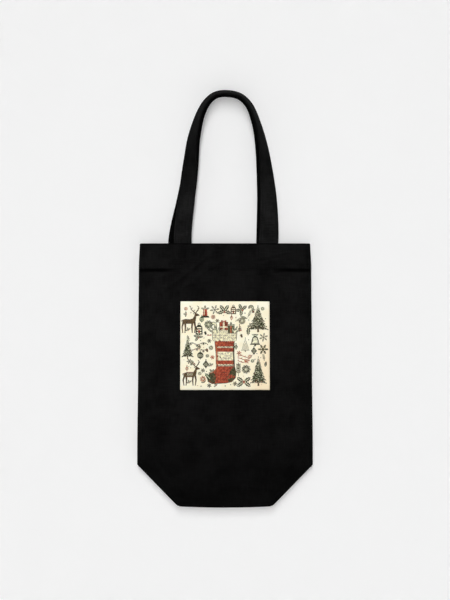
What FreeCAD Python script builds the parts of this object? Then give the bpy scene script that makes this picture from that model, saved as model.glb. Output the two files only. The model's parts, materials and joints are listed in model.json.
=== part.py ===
"""A cotton canvas gift bag for one bottle, hanging flat, with two carrying handles.

Millimetres. +X is to the right, +Z is up and -Y is the printed front. The origin is at the
bottom centre of the bag: halfway along its lower edge and halfway between front and back.

The bag hangs folded flat. Its boxed base is tucked up inside as an upturned V, and the lower
corners of its sides are folded in along 45 degree lines, so the bottom edge is as long as the
base is wide.
"""
import FreeCAD, Part
import math
import os
import Sketcher

# %% Driving dimensions

SIZES = [
    ("flat_width", 200, "side seam to side seam, bag folded flat"),
    ("bag_height", 305, "lower edge to mouth"),
    ("base_depth", 96, "front to back of the base when it is unfolded"),
    ("cloth", 0.8, "one layer of canvas"),
    ("inside_gap", 10.4, "front cloth to back cloth, inside"),
    ("side_round", 15, "width over which each side closes to its seam"),
    ("corner_round", 3, "the same at the two ends of the lower edge"),
    ("fold_clearance", 0.3, "folded-in base to the cloth around it, at its ends"),
    ("hem_depth", 29, "turned-in hem round the mouth"),
    ("seam_allowance", 10, "cloth beyond a seam, inside"),
    ("strap_width", 24, "handle strap"),
    ("strap_thick", 2, "handle strap, four pressed layers"),
    ("strap_spacing", 102, "between the two ends of one handle"),
    ("strap_sewn", 28, "strap held inside the hem"),
    ("bend_gap", 0.6, "sewn strap end to the free strap, where it bends"),
    ("handle_rise", 172, "mouth to the middle of the strap at the top of a handle"),
    ("handle_turn", 84, "degrees that the strap turns from its end to its top"),
    ("nest_gap", 1, "front handle to back handle at the top"),
    ("back_shift", 3.5, "back handle is sewn this far to the left of the front one"),
    ("stitch_width", 0.6, "width of a row of thread"),
    ("stitch_sink", 0.3, "depth that a row of thread sinks into the cloth"),
    ("stitch_proud", 0.2, "height of the thread along a strap"),
    ("stitch_lift", 0.1, "strap face to that thread, so that the turned faces never meet"),
    ("strap_stitch_inset", 2.5, "strap edge to the middle of its row of thread"),
    ("hem_stitch_up", 3, "hem's inner edge to its row of thread"),
    ("box_width", 22, "stitched box that holds a strap, across"),
    ("box_height", 16, "stitched box that holds a strap, up"),
    ("box_drop", 2, "mouth to the top of the stitched box"),
    ("print_size", 102, "printed square"),
    ("print_bottom", 136, "lower edge of the bag to the printed square"),
    ("print_thick", 0.15, "ink film"),
]

# Middle line of a handle, as shares of half the strap spacing and of the handle's rise.
HANDLE_ROUTE = [
    (-1.00, 0.00), (-0.86, 0.31), (-0.75, 0.56), (-0.69, 0.70), (-0.57, 0.84),
    (-0.41, 0.94), (-0.21, 0.99), (0.05, 1.00), (0.34, 0.98), (0.55, 0.92),
    (0.69, 0.82), (0.80, 0.70), (0.89, 0.53), (0.97, 0.29), (1.00, 0.00),
]
HANDLE_SECTIONS = 40
TURN_SHAPE = 0.8
FRONT = -1
BACK = 1

doc = FreeCAD.newDocument("BottleGiftBag")
sheet = doc.addObject("Spreadsheet::Sheet", "Sizes")
for row, (alias, value, note) in enumerate(SIZES, start=1):
    sheet.set(f"A{row}", alias)
    sheet.set(f"B{row}", str(value))
    sheet.set(f"C{row}", note)
    sheet.setAlias(f"B{row}", alias)
doc.recompute()


def size(alias):
    """A driving dimension as a number, for shapes that Part's functions build."""
    return float(sheet.get(alias))


# %% Sizes that several pieces share, worked out from the driving dimensions

HALF = "Sizes.flat_width / 2"
FLAT_HALF = "(Sizes.flat_width / 2 - Sizes.side_round)"
FOLD = "Sizes.base_depth / 2"
BASE_HALF = "(Sizes.flat_width - Sizes.base_depth) / 2"
FOOT_HALF = f"({BASE_HALF} - Sizes.corner_round)"
FOOT_TURN = f"({BASE_HALF} - Sizes.corner_round / 2)"


def depth(layers):
    """Y distance from the bag's middle to the outside of its cloth, in by some layers."""
    return f"(Sizes.inside_gap / 2 + (1 - {layers}) * Sizes.cloth)"


def edge(layers):
    """X at which a layer of the sloping side meets the bag's middle."""
    return f"({HALF} - Sizes.side_round * {layers} * Sizes.cloth / {depth(0)})"


# %% Helpers: bodies, sketches and lofts

sub_parts = []


def keep(piece, label):
    piece.Label = label
    sub_parts.append(piece)
    return piece


def origin_plane(body, role):
    return next(item for item in body.Origin.OriginFeatures if item.Role == role)


def outline(sketch, corners):
    """A closed outline. Two datums hold each corner, its distances from the origin."""
    first = sketch.GeometryCount
    count = len(corners)
    ring = []
    for turn in range(count):
        angle = 2 * math.pi * turn / count
        ring.append(FreeCAD.Vector(math.cos(angle), math.sin(angle), 0))
    for turn in range(count):
        sketch.addGeometry(Part.LineSegment(ring[turn], ring[(turn + 1) % count]))
    for turn in range(count):
        after = first + (turn + 1) % count
        sketch.addConstraint(Sketcher.Constraint("Coincident", first + turn, 2, after, 1))
    for turn, (across, up) in enumerate(corners):
        for kind, place in (("DistanceX", across), ("DistanceY", up)):
            datum = Sketcher.Constraint(kind, -1, 1, first + turn, 1, 1.0)
            index = sketch.addConstraint(datum)
            sketch.setExpression(f"Constraints[{index}]", place)


def rectangle(low_x, low_y, high_x, high_y):
    return [(low_x, low_y), (high_x, low_y), (high_x, high_y), (low_x, high_y)]


def sketch_on(body, role, name, offset, outlines):
    sketch = body.newObject("Sketcher::SketchObject", name)
    sketch.AttachmentSupport = [(origin_plane(body, role), "")]
    sketch.MapMode = "FlatFace"
    sketch.setExpression("AttachmentOffset.Base.z", offset)
    for corners in outlines:
        outline(sketch, corners)
    return sketch


def lofted_body(label, sections):
    """A body lofted in straight lines through outlines, each at its own height."""
    body = keep(doc.addObject("PartDesign::Body", label), label)
    sketches = []
    for number, (height, corners) in enumerate(sections, start=1):
        name = f"{label}_section_{number}"
        sketches.append(sketch_on(body, "XY_Plane", name, height, [corners]))
    loft = body.newObject("PartDesign::AdditiveLoft", f"{label}_loft")
    loft.Profile = sketches[0]
    loft.Sections = sketches[1:]
    loft.Ruled = True
    return body


def block(name, low, high):
    """A box between two corners, each given by three expressions."""
    box = doc.addObject("Part::Box", name)
    for side, axis, start, end in zip(("Length", "Width", "Height"), "xyz", low, high):
        box.setExpression(side, f"({end}) - ({start})")
        box.setExpression(f"Placement.Base.{axis}", start)
    return box


def layer_block(name, side, x_span, y_span, z_span):
    """A block in one half of the bag. Its y_span runs from the middle outwards."""
    inner, outer = y_span
    low, high = (inner, outer) if side == BACK else (f"-({outer})", f"-({inner})")
    return block(name, (x_span[0], low, z_span[0]), (x_span[1], high, z_span[1]))


def centred(middle, width):
    return (f"({middle}) - ({width}) / 2", f"({middle}) + ({width}) / 2")


def strap_middle(side, end):
    """X of a strap's middle where it is sewn on. end is -1 on the left, 1 on the right."""
    shift = "0" if side == FRONT else "Sizes.back_shift"
    return f"{end} * Sizes.strap_spacing / 2 - {shift}"


# %% Front and back cloth: a flat middle, and a strip at each side that closes to the seam


def flat_layer(side, half, outer, inner):
    """Straight section of one half of the bag, from one layer boundary in to another."""
    return rectangle(f"-{half}", f"{side} * {depth(outer)}", half, f"{side} * {depth(inner)}")


def side_strip(label, side, end):
    """The cloth from the flat middle to the side seam, and down along the folded corner."""
    across = [
        (f"{end} * {FLAT_HALF}", f"{side} * {depth(0)}"), (f"{end} * {edge(0)}", "0"),
        (f"{end} * {edge(1)}", "0"), (f"{end} * {FLAT_HALF}", f"{side} * {depth(1)}"),
    ]
    inside = f"{side} * {depth(1)}"
    foot = [
        (f"{end} * {FOOT_HALF}", f"{side} * {depth(0)}"), (f"{end} * {BASE_HALF}", inside),
        (f"{end} * {FOOT_TURN}", inside), (f"{end} * {FOOT_HALF}", inside),
    ]
    return lofted_body(label, [("Sizes.bag_height", across), (FOLD, across), ("0", foot)])


HEM_EDGE = "Sizes.bag_height - Sizes.hem_depth"
HEM_ROW = centred(f"{HEM_EDGE} + Sizes.hem_stitch_up", "Sizes.stitch_width")
ROW_ENDS = (f"-{FLAT_HALF}", FLAT_HALF)
BOX_TOP = "(Sizes.bag_height - Sizes.box_drop)"
BOX_FOOT = f"({BOX_TOP} - Sizes.box_height)"


def box_outlines(side, end):
    """Outer and inner outline, on the cloth, of the stitched box that holds one strap end."""
    left, right = centred(strap_middle(side, end), "Sizes.box_width")
    thread = "Sizes.stitch_width"
    outer = rectangle(left, BOX_FOOT, right, BOX_TOP)
    inner = rectangle(f"{left} + {thread}", f"{BOX_FOOT} + {thread}",
                      f"{right} - {thread}", f"{BOX_TOP} - {thread}")
    return outer, inner


def panel(label, side):
    middle = flat_layer(side, FLAT_HALF, 0, 1)
    foot = flat_layer(side, FOOT_HALF, 0, 1)
    body = lofted_body(label, [("Sizes.bag_height", middle), (FOLD, middle), ("0", foot)])
    rows = [rectangle(ROW_ENDS[0], HEM_ROW[0], ROW_ENDS[1], HEM_ROW[1])]
    for end in (-1, 1):
        rows.extend(box_outlines(side, end))
    # The XZ plane's normal is -Y, so its offset counts towards the front.
    grooves = sketch_on(body, "XZ_Plane", f"{label}_stitch_rows", f"{-side} * {depth(0)}", rows)
    sink = body.newObject("PartDesign::Pocket", f"{label}_grooves")
    sink.Profile = grooves
    sink.setExpression("Length", "Sizes.stitch_sink")
    sink.Reversed = side == BACK
    return body


for side, word in ((FRONT, "front"), (BACK, "back")):
    panel(f"{word}_panel", side)
    for end, hand in ((-1, "left"), (1, "right")):
        side_strip(f"{word}_{hand}_side", side, end)

# %% Hems, folded-up base and inside seams


def hem(label, side):
    """Cloth turned in twice at the mouth: two layers behind the panel and its side strips."""
    section = [
        (f"-{edge(1)}", "0"), (f"-{FLAT_HALF}", f"{side} * {depth(1)}"),
        (FLAT_HALF, f"{side} * {depth(1)}"), (edge(1), "0"),
        (edge(3), "0"), (FLAT_HALF, f"{side} * {depth(3)}"),
        (f"-{FLAT_HALF}", f"{side} * {depth(3)}"), (f"-{edge(3)}", "0"),
    ]
    return lofted_body(label, [("Sizes.bag_height", section), (HEM_EDGE, section)])


def base_tuck(label, side):
    """Half of the base and the sides' lower corners, folded up inside: one sloping layer."""
    foot = f"({FOOT_TURN} - Sizes.fold_clearance)"
    top = f"({edge(2)} - Sizes.fold_clearance)"
    return lofted_body(label, [
        ("0", rectangle(f"-{foot}", f"{side} * {depth(1)}", foot, f"{side} * {depth(2)}")),
        (FOLD, rectangle(f"-{top}", f"{side} * Sizes.cloth", top, "0")),
    ])


def corner_seam(label, side, end):
    """Allowance of the seam at one end of the base, lying on the folded base."""
    near = f"{end} * ({BASE_HALF} - Sizes.seam_allowance)"
    far = f"{end} * {BASE_HALF}"
    foot = f"({FOLD} * 2 * Sizes.cloth / {depth(2)})"
    return lofted_body(label, [
        (foot, rectangle(near, f"{side} * {depth(3)}", far, f"{side} * {depth(1)}")),
        (FOLD, rectangle(near, f"{side} * Sizes.cloth", far, f"{side} * 3 * Sizes.cloth")),
    ])


TWO_LAYERS = ("-Sizes.cloth", "Sizes.cloth")
for side, word in ((FRONT, "front"), (BACK, "back")):
    hem(f"{word}_hem", side)
    base_tuck(f"{word}_base_tuck", side)
    for end, hand in ((-1, "left"), (1, "right")):
        corner_seam(f"{word}_{hand}_corner_seam", side, end)

base_low = (f"-{BASE_HALF}", TWO_LAYERS[0], FOLD)
base_high = (BASE_HALF, TWO_LAYERS[1], f"{FOLD} + Sizes.seam_allowance")
keep(block("base_seam", base_low, base_high), "base_seam")

for end, hand in ((-1, "left"), (1, "right")):
    reach = (edge(2), f"({edge(2)} - Sizes.seam_allowance)")
    x_span = (f"-{reach[0]}", f"-{reach[1]}") if end < 0 else (reach[1], reach[0])
    low = (x_span[0], TWO_LAYERS[0], FOLD)
    high = (x_span[1], TWO_LAYERS[1], HEM_EDGE)
    keep(block(f"{hand}_side_seam", low, high), f"{hand}_side_seam")

# %% Sewn strap ends and the thread on the panels

THREAD_DEPTH = (f"{depth(0)} - Sizes.stitch_sink", depth(0))


def strap_end(label, side, end):
    """The end of a handle, flat between the hem and the inside of the bag."""
    x_span = centred(strap_middle(side, end), "Sizes.strap_width")
    y_span = (f"{depth(3)} - Sizes.strap_thick", depth(3))
    z_span = ("Sizes.bag_height - Sizes.strap_sewn", "Sizes.bag_height")
    return keep(layer_block(label, side, x_span, y_span, z_span), label)


def stitched_box(name, side, end):
    """Thread in a rectangle, filling its groove in the panel."""
    blocks = []
    for part, corners in zip(("outer", "inner"), box_outlines(side, end)):
        x_span = (corners[0][0], corners[2][0])
        z_span = (corners[0][1], corners[2][1])
        blocks.append(layer_block(f"{name}_{part}", side, x_span, THREAD_DEPTH, z_span))
    ring = doc.addObject("Part::Cut", name)
    ring.Base, ring.Tool = blocks
    return ring


for side, word in ((FRONT, "front"), (BACK, "back")):
    row = layer_block(f"{word}_hem_thread", side, ROW_ENDS, THREAD_DEPTH, HEM_ROW)
    keep(row, f"{word}_hem_thread")
    rings = []
    for end, hand in ((-1, "left"), (1, "right")):
        strap_end(f"{word}_{hand}_strap_end", side, end)
        rings.append(stitched_box(f"{word}_{hand}_box", side, end))
    boxes = doc.addObject("Part::Compound", f"{word}_strap_thread")
    boxes.Links = rings
    keep(boxes, f"{word}_strap_thread")

# %% Printed square on the front

print_half = "Sizes.print_size / 2"
print_low = (f"-{print_half}", f"-{depth(0)} - Sizes.print_thick", "Sizes.print_bottom")
print_high = (print_half, f"-{depth(0)}", "Sizes.print_bottom + Sizes.print_size")
keep(block("printed_square", print_low, print_high), "printed_square")
doc.recompute()

# %% Handles: each a flat strap that turns as it rises, so that it is edge-on at its top

BASE_SPACING = size("inside_gap") - 4 * size("cloth") - size("strap_thick")
TOP_SPACING = size("strap_thick") + size("nest_gap")


def handle_stations(side):
    """Places along one handle: its middle, the way across it and the way off its face."""
    half = size("strap_spacing") / 2
    foot = size("bag_height") + size("bend_gap")
    rise = size("handle_rise") - size("bend_gap")
    route = [FreeCAD.Vector(x * half, 0, foot + z * rise) for x, z in HANDLE_ROUTE]
    curve = Part.BSplineCurve()
    curve.interpolate(route)
    line = curve.toShape()
    stations = []
    for number in range(HANDLE_SECTIONS + 1):
        along = line.Length * number / HANDLE_SECTIONS
        where = line.getParameterByLength(along)
        point = line.valueAt(where)
        forward = line.tangentAt(where)
        share = min(max((point.z - foot) / rise, 0), 1)
        turned = math.radians(size("handle_turn")) * share ** TURN_SHAPE
        outward = FreeCAD.Vector(-forward.z, 0, forward.x)
        off = outward * math.sin(turned) + FreeCAD.Vector(0, -math.cos(turned), 0)
        across = outward * math.cos(turned) + FreeCAD.Vector(0, math.sin(turned), 0)
        spacing = BASE_SPACING + (TOP_SPACING - BASE_SPACING) * share
        point += off * (-side * spacing / 2)
        if side == BACK:
            point.x -= size("back_shift") * (1 - share) ** 3
        if number in (0, HANDLE_SECTIONS):
            across = FreeCAD.Vector(math.copysign(1, across.x), 0, 0)
        stations.append((point, across, off))
    return stations


def ribbon(stations, across_span, off_span):
    """A solid band along the stations, between two places across and two off the face."""
    corners = [(across_span[0], off_span[0]), (across_span[1], off_span[0]),
               (across_span[1], off_span[1]), (across_span[0], off_span[1])]
    wires = []
    for point, across, off in stations:
        ring = [point + across * side + off * out for side, out in corners]
        wires.append(Part.makePolygon(ring + ring[:1]))
    return Part.makeLoft(wires, True, True)


def handle(word, side):
    stations = handle_stations(side)
    half_width = size("strap_width") / 2
    half_thick = size("strap_thick") / 2
    loop = doc.addObject("Part::Feature", f"{word}_handle_strap")
    loop.Shape = ribbon(stations, (-half_width, half_width), (-half_thick, half_thick))
    keep(loop, f"{word}_handle_strap")
    rows = []
    for edge_side in (-1, 1):
        middle = edge_side * (half_width - size("strap_stitch_inset"))
        across = (middle - size("stitch_width") / 2, middle + size("stitch_width") / 2)
        face = half_thick + size("stitch_lift")
        off = (face, face + size("stitch_proud"))
        rows.append(ribbon(stations, across, off))
    thread = doc.addObject("Part::Feature", f"{word}_handle_thread")
    thread.Shape = Part.makeCompound(rows)
    keep(thread, f"{word}_handle_thread")


handle("front", FRONT)
handle("back", BACK)
doc.recompute()

# %% Check every object, then write each sub-part

for item in doc.Objects:
    if "Invalid" in item.State or "Error" in item.State:
        raise RuntimeError(f"{item.Label}: {item.State}")
os.makedirs("parts", exist_ok=True)
for piece in sub_parts:
    shape = piece.Shape
    if shape.isNull() or not shape.isValid() or shape.Volume <= 0:
        raise RuntimeError(f"{piece.Label} has no sound solid")
for piece in sub_parts:
    piece.Shape.exportStep(f"parts/{piece.Label}.step")
    box = piece.Shape.BoundBox
    print(f"{piece.Label:26} {len(piece.Shape.Solids)} solid(s) {piece.Shape.Volume:10.1f} mm3"
          f"  x {box.XMin:7.1f} {box.XMax:7.1f}  y {box.YMin:6.2f} {box.YMax:6.2f}"
          f"  z {box.ZMin:6.1f} {box.ZMax:6.1f}")
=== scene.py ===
# %% [markdown]
# # A black canvas gift bag for one bottle
#
# A flat-folded tote: two cuts of black cotton canvas, sewn at the sides and across a boxed base
# that is tucked up inside, a turned hem round the mouth, two strap handles sewn inside the hem,
# and a square of cream ink with small winter motifs on the front. The lesson dresses a frame of
# plain solids: the frame gives every size, and nothing here moves or resizes it.

# %% Load the frame
import bisect
import json
import math
import random

import bmesh
import bpy
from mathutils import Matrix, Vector, noise


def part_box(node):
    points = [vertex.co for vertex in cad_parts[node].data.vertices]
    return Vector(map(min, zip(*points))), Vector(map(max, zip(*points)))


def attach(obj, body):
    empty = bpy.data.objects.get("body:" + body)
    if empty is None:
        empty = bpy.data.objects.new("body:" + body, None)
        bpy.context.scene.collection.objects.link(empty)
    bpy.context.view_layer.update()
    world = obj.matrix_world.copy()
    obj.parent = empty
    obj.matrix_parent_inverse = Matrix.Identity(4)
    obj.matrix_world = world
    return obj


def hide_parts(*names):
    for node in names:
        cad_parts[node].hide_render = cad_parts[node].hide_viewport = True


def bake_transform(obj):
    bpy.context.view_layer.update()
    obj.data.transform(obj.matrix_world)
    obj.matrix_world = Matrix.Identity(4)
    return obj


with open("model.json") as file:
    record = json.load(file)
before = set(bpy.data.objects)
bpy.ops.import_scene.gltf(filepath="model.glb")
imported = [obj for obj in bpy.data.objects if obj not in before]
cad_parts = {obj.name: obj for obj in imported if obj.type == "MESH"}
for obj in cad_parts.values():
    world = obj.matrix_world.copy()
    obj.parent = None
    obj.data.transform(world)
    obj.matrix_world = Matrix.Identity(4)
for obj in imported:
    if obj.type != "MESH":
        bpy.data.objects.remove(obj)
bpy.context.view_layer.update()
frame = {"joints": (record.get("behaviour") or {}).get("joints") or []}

MM = 0.001

# %% [markdown]
# ## Sizes read from the frame
#
# A maker measures the work in hand before cutting. Each size is taken from the frame's own
# pieces, so a change there carries through to every fold, row of stitches and motif here.

# %% Read the sizes
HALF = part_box("front_right_side")[1].x
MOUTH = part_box("front_panel")[1].z
DEPTH = -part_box("front_panel")[0].y
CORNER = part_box("front_base_tuck")[1].z
BASE_HALF = HALF - CORNER
HEM_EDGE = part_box("front_hem")[0].z
HEM_ROW = sum(corner.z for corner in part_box("front_hem_thread")) / 2
STRAP_LOW, STRAP_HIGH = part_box("front_right_strap_end")
STRAP_WIDTH = STRAP_HIGH.x - STRAP_LOW.x
STRAP_THICK = STRAP_HIGH.y - STRAP_LOW.y
STRAP_X = (STRAP_HIGH.x + STRAP_LOW.x) / 2
STRAP_Y = -(STRAP_HIGH.y + STRAP_LOW.y) / 2
BACK_STRAP_X = sum(corner.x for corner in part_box("back_right_strap_end")) / 2
BACK_SHIFT = STRAP_X - BACK_STRAP_X
HANDLE_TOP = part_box("front_handle_strap")[1].z
PRINT_LOW, PRINT_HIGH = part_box("printed_square")
BOX_LOW, BOX_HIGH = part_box("front_strap_thread")
BOX_HALF = BOX_HIGH.x - STRAP_X
HINGE_Y = abs(frame["joints"][0]["pos_m"][1])
FRONT, BACK = -1, 1
SIDE_WORD = {FRONT: "front", BACK: "back"}
print(f"flat width {2 * HALF / MM:.0f} mm, height {MOUTH / MM:.0f} mm, corner {CORNER / MM:.0f} mm")

# %% [markdown]
# ## Small helpers for meshes
#
# Every piece ends as one mesh whose object sits at the origin, so its place is in its vertices.
# A grid of points is the plainest way to make cloth: the rows and columns follow the weave, and
# a map from the grid gives each corner its place on the uncut cloth.

# %% Mesh helpers


def smooth(low, high, value):
    """0 below low, 1 above high, and an even ease between them."""
    share = min(max((value - low) / (high - low), 0.0), 1.0)
    return share * share * (3 - 2 * share)


def mix(first, second, share):
    """The value that lies that share of the way from the first to the second."""
    return first + (second - first) * share


def ripple(size, x, y, z):
    """Even noise from -1 to 1 whose bumps are about one size across."""
    return noise.noise(Vector((x / size, y / size, z / size)))


def new_object(name, mesh):
    """An object at the origin, linked to the scene."""
    piece = bpy.data.objects.new(name, mesh)
    bpy.context.scene.collection.objects.link(piece)
    return piece


def grid_object(name, rows, cloth_map, closed=False):
    """A mesh from rows of points, with a UV map in metres from rows of (across, along)."""
    count = len(rows[0])
    mesh = bpy.data.meshes.new(name)
    points = [point for row in rows for point in row]
    spans = count if closed else count - 1
    faces, corners = [], []
    for row in range(len(rows) - 1):
        for column in range(spans):
            after = (column + 1) % count
            ring = ((row, column), (row, column + 1), (row + 1, column + 1), (row + 1, column))
            faces.append((row * count + column, row * count + after,
                          (row + 1) * count + after, (row + 1) * count + column))
            corners.extend(cloth_map[r][c] for r, c in ring)
    mesh.from_pydata(points, [], faces)
    layer = mesh.uv_layers.new(name="cloth")
    layer.data.foreach_set("uv", [value for pair in corners for value in pair])
    mesh.polygons.foreach_set("use_smooth", [True] * len(mesh.polygons))
    return new_object(name, mesh)


def weld(piece, reach):
    """Joins points that lie together, drops faces that this closes up and turns the rest out."""
    work = bmesh.new()
    work.from_mesh(piece.data)
    bmesh.ops.remove_doubles(work, verts=work.verts, dist=reach)
    bmesh.ops.dissolve_degenerate(work, edges=work.edges, dist=reach)
    bmesh.ops.recalc_face_normals(work, faces=work.faces)
    work.to_mesh(piece.data)
    work.free()


def apply_modifiers(piece):
    """Replaces a piece's mesh with the shape that its modifiers give, and removes them."""
    graph = bpy.context.evaluated_depsgraph_get()
    result = bpy.data.meshes.new_from_object(piece.evaluated_get(graph))
    piece.modifiers.clear()
    piece.data = result


def triangles(piece):
    """How many triangles the piece's faces make."""
    return sum(len(face.vertices) - 2 for face in piece.data.polygons)


print("ripples 10 mm long, tried 3 mm along:", round(ripple(10 * MM, 3 * MM, 0.0, 0.0), 3))


# %% [markdown]
# ## Shader expressions
#
# A finish is easier to read as a sum than as a web of nodes. One small class wraps a socket, so
# that `1 - mask * 0.3` adds its own Math nodes. Colours go through a Mix node, because a Math
# node would turn them grey.

# %% A socket for sums


class Socket:
    """A node's output that can be used in sums."""

    def __init__(self, shader, output):
        self.shader = shader
        self.output = output

    def math(self, operation, *others):
        return self.shader.add("ShaderNodeMath", {"operation": operation}, self, *others)

    def __add__(self, other):
        return self.math("ADD", other)

    def __sub__(self, other):
        return self.math("SUBTRACT", other)

    def __mul__(self, other):
        return self.math("MULTIPLY", other)

    def __rsub__(self, other):
        return self.shader.add("ShaderNodeMath", {"operation": "SUBTRACT"}, other, self)

    __radd__ = __add__
    __rmul__ = __mul__

    def sine(self):
        return self.math("SINE")

    def size(self):
        return self.math("ABSOLUTE")

    def part(self, letter):
        """One of a vector's X, Y and Z."""
        return self.shader.add("ShaderNodeSeparateXYZ", {}, self, result="XYZ".index(letter))

    def between(self, low, high, start=0.0, end=1.0):
        """start where this is low, end where it is high, eased and clamped between."""
        settings = {"interpolation_type": "SMOOTHSTEP"}
        return self.shader.add("ShaderNodeMapRange", settings, self, low, high, start, end)


# %% A material and its nodes


class Shader:
    """One material, or the world, and the nodes that feed its surface."""

    def __init__(self, name, store=bpy.data.materials):
        self.material = store.new(name)
        self.material.use_nodes = True
        self.tree = self.material.node_tree
        self.tree.nodes.clear()

    def link(self, value, socket):
        if isinstance(value, Socket):
            self.tree.links.new(value.output, socket)
        else:
            socket.default_value = value

    def add(self, kind, settings, *values, result=0, **named):
        """A node with its settings, then its inputs in order or by name."""
        node = self.tree.nodes.new(kind)
        for setting, value in settings.items():
            setattr(node, setting, value)
        for value, socket in zip(values, node.inputs):
            self.link(value, socket)
        for title, value in named.items():
            self.link(value, node.inputs[title.replace("_", " ")])
        return Socket(self, node.outputs[result])

    def blend(self, factor, first, second):
        """Mixes two colours."""
        node = self.tree.nodes.new("ShaderNodeMix")
        node.data_type = "RGBA"
        for value, place in ((factor, 0), (first, 6), (second, 7)):
            self.link(value, node.inputs[place])
        return Socket(self, node.outputs[2])

    def noise(self, where, scale, detail=2.0, roughness=0.5):
        return self.add("ShaderNodeTexNoise", {}, Vector=where, Scale=scale, Detail=detail,
                        Roughness=roughness)

    def stretch(self, where, scale):
        """A place scaled by its own amount each way, which draws a pattern out."""
        settings = {"operation": "MULTIPLY"}
        return self.add("ShaderNodeVectorMath", settings, where, scale)

    def bump(self, height, strength, distance):
        return self.add("ShaderNodeBump", {}, Strength=strength, Distance=distance, Height=height)

    def cloth_map(self):
        return self.add("ShaderNodeUVMap", {"uv_map": "cloth"})

    def place(self):
        return self.add("ShaderNodeTexCoord", {}, result=3)

    def finish(self, surface, output="ShaderNodeOutputMaterial"):
        """Sends a surface to the output, and gives back the material or world."""
        self.link(surface, self.tree.nodes.new(output).inputs["Surface"])
        return self.material

    def surface(self, **inputs):
        """The material, finished with one principled surface."""
        return self.finish(self.add("ShaderNodeBsdfPrincipled", {}, **inputs))


# %% Colours


def colour(red, green, blue):
    """A screen colour from 0 to 255 as the linear values that a shader takes."""

    def linear(value):
        share = value / 255
        return share / 12.92 if share <= 0.04045 else ((share + 0.055) / 1.055) ** 2.4
    return (linear(red), linear(green), linear(blue), 1.0)


print("middle grey as a shader takes it:", [round(value, 3) for value in colour(128, 128, 128)])


# %% [markdown]
# ## Canvas, thread and ink
#
# Black canvas is a plain weave: each thread passes over one and under the next, so its height is
# the product of two waves, one across the cloth and one along it. Cotton threads swell and thin
# along their length, which noise stretched along each thread gives. Dyed black cotton is matt
# and a little fuzzy, so the surface has hardly any shine and a low sheen.

# %% The weave
THREAD_PITCH = 0.95 * MM


def weave(shader, where, pitch):
    """Height of a plain weave from 0 to 1, and a slow unevenness along its threads."""
    across = where.part("X") * (math.pi / pitch)
    along = where.part("Y") * (math.pi / pitch)
    checks = across.sine() * along.sine()
    ribs = (across.sine().size() + along.sine().size()) * 0.5
    warp = shader.noise(shader.stretch(where, (1 / pitch, 0.06 / pitch, 0.0)), 1.0, 1.0)
    weft = shader.noise(shader.stretch(where, (0.06 / pitch, 1 / pitch, 0.0)), 1.0, 1.0)
    slubs = (warp + weft) * 0.5
    height = checks * 0.25 + ribs * 0.45 + slubs * 0.5
    return height, slubs


print(f"threads across the front: {2 * HALF / THREAD_PITCH:.0f}")

# %% Canvas
PAINTED_FALLOFF_SHADE = colour(2, 2, 2)
PAINTED_HEM_SHADE = colour(1, 1, 1)
BETWEEN_THREADS = colour(3, 3, 3)
LINT = colour(66, 65, 63)
HEM_SHADE_Z = HEM_EDGE - 2.2 * MM


def canvas(name, dark, light, bump_depth, full, shade_start, with_hem=False):
    """Canvas darkened by painted shade, starting at one given height and deepest at the height full.

    With a hem, painted shade darkens the cloth under the hem near the side seams, and a painted shadow
    darkens it along the rim.
    """
    shader = Shader(name)
    where = shader.cloth_map()
    height, slubs = weave(shader, where, THREAD_PITCH)
    place = shader.place()
    cloudy = shader.noise(place, 34.0, 5.0, 0.62)
    fibres = shader.noise(shader.stretch(where, (900.0, 2600.0, 0.0)), 1.0, 3.0, 0.7)
    lint = fibres.between(0.68, 0.78) * 0.35
    shade = slubs.between(0.30, 0.70) * 0.45 + cloudy.between(0.34, 0.66) * 0.55
    base = shader.blend(shade, dark, light)
    # Painted shade: the canvas darkens between the two heights, standing in for light that falls off
    # towards the base of the bag and over the top of a strap's arch.
    deep = shader.noise(place, 12.0, 2.0) * 0.03 - 0.015 + place.part("Z")
    base = shader.blend(deep.between(shade_start, full, 0.0, 0.55), base, PAINTED_FALLOFF_SHADE)
    if with_hem:
        # Painted shade under the hem near the sides, and a painted shadow along the rim of the mouth.
        under = (place.part("Z") - HEM_SHADE_Z).size()
        outward = place.part("X").size()
        tucked = under.between(0.5 * MM, 3.2 * MM, 0.95, 0.0) * outward.between(0.050, 0.074)
        base = shader.blend(tucked, base, PAINTED_HEM_SHADE)
        rim = place.part("Z").between(MOUTH - 1.8 * MM, MOUTH - 0.5 * MM, 0.0, 0.8)
        base = shader.blend(rim, base, PAINTED_HEM_SHADE)
    base = shader.blend(height.between(0.15, 0.55, 0.45, 0.0), base, BETWEEN_THREADS)
    base = shader.blend(lint, base, LINT)
    fuzz = shader.noise(where, 5200.0, 2.0)
    relief = height + fuzz * 0.25
    return shader.surface(
        Base_Color=base, Roughness=0.92, Specular_IOR_Level=0.03, Sheen_Weight=0.01,
        Sheen_Roughness=0.45, Normal=shader.bump(relief, 0.9, bump_depth))


# The bag's canvas has painted shade that deepens towards its base.
CLOTH_BLACK = canvas("black_canvas", colour(6, 6, 6), colour(22, 22, 22), 0.24 * MM, -0.03, 0.18,
                     with_hem=True)
# The straps' canvas has painted shade that deepens towards the top of the arch.
STRAP_BLACK = canvas("strap_canvas", colour(13, 13, 13), colour(39, 39, 39), 0.22 * MM,
                     0.41, 0.33)
# A darker copy of the strap canvas: painted shade for the back strap, which stands in the front one's
# shade.
STRAP_SHADED = canvas("back_strap_canvas", colour(3, 3, 3), colour(10, 10, 10), 0.22 * MM,
                      0.47, 0.34)


print("cloth finishes:", CLOTH_BLACK.name, STRAP_BLACK.name, STRAP_SHADED.name)

# %% Thread


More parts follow.
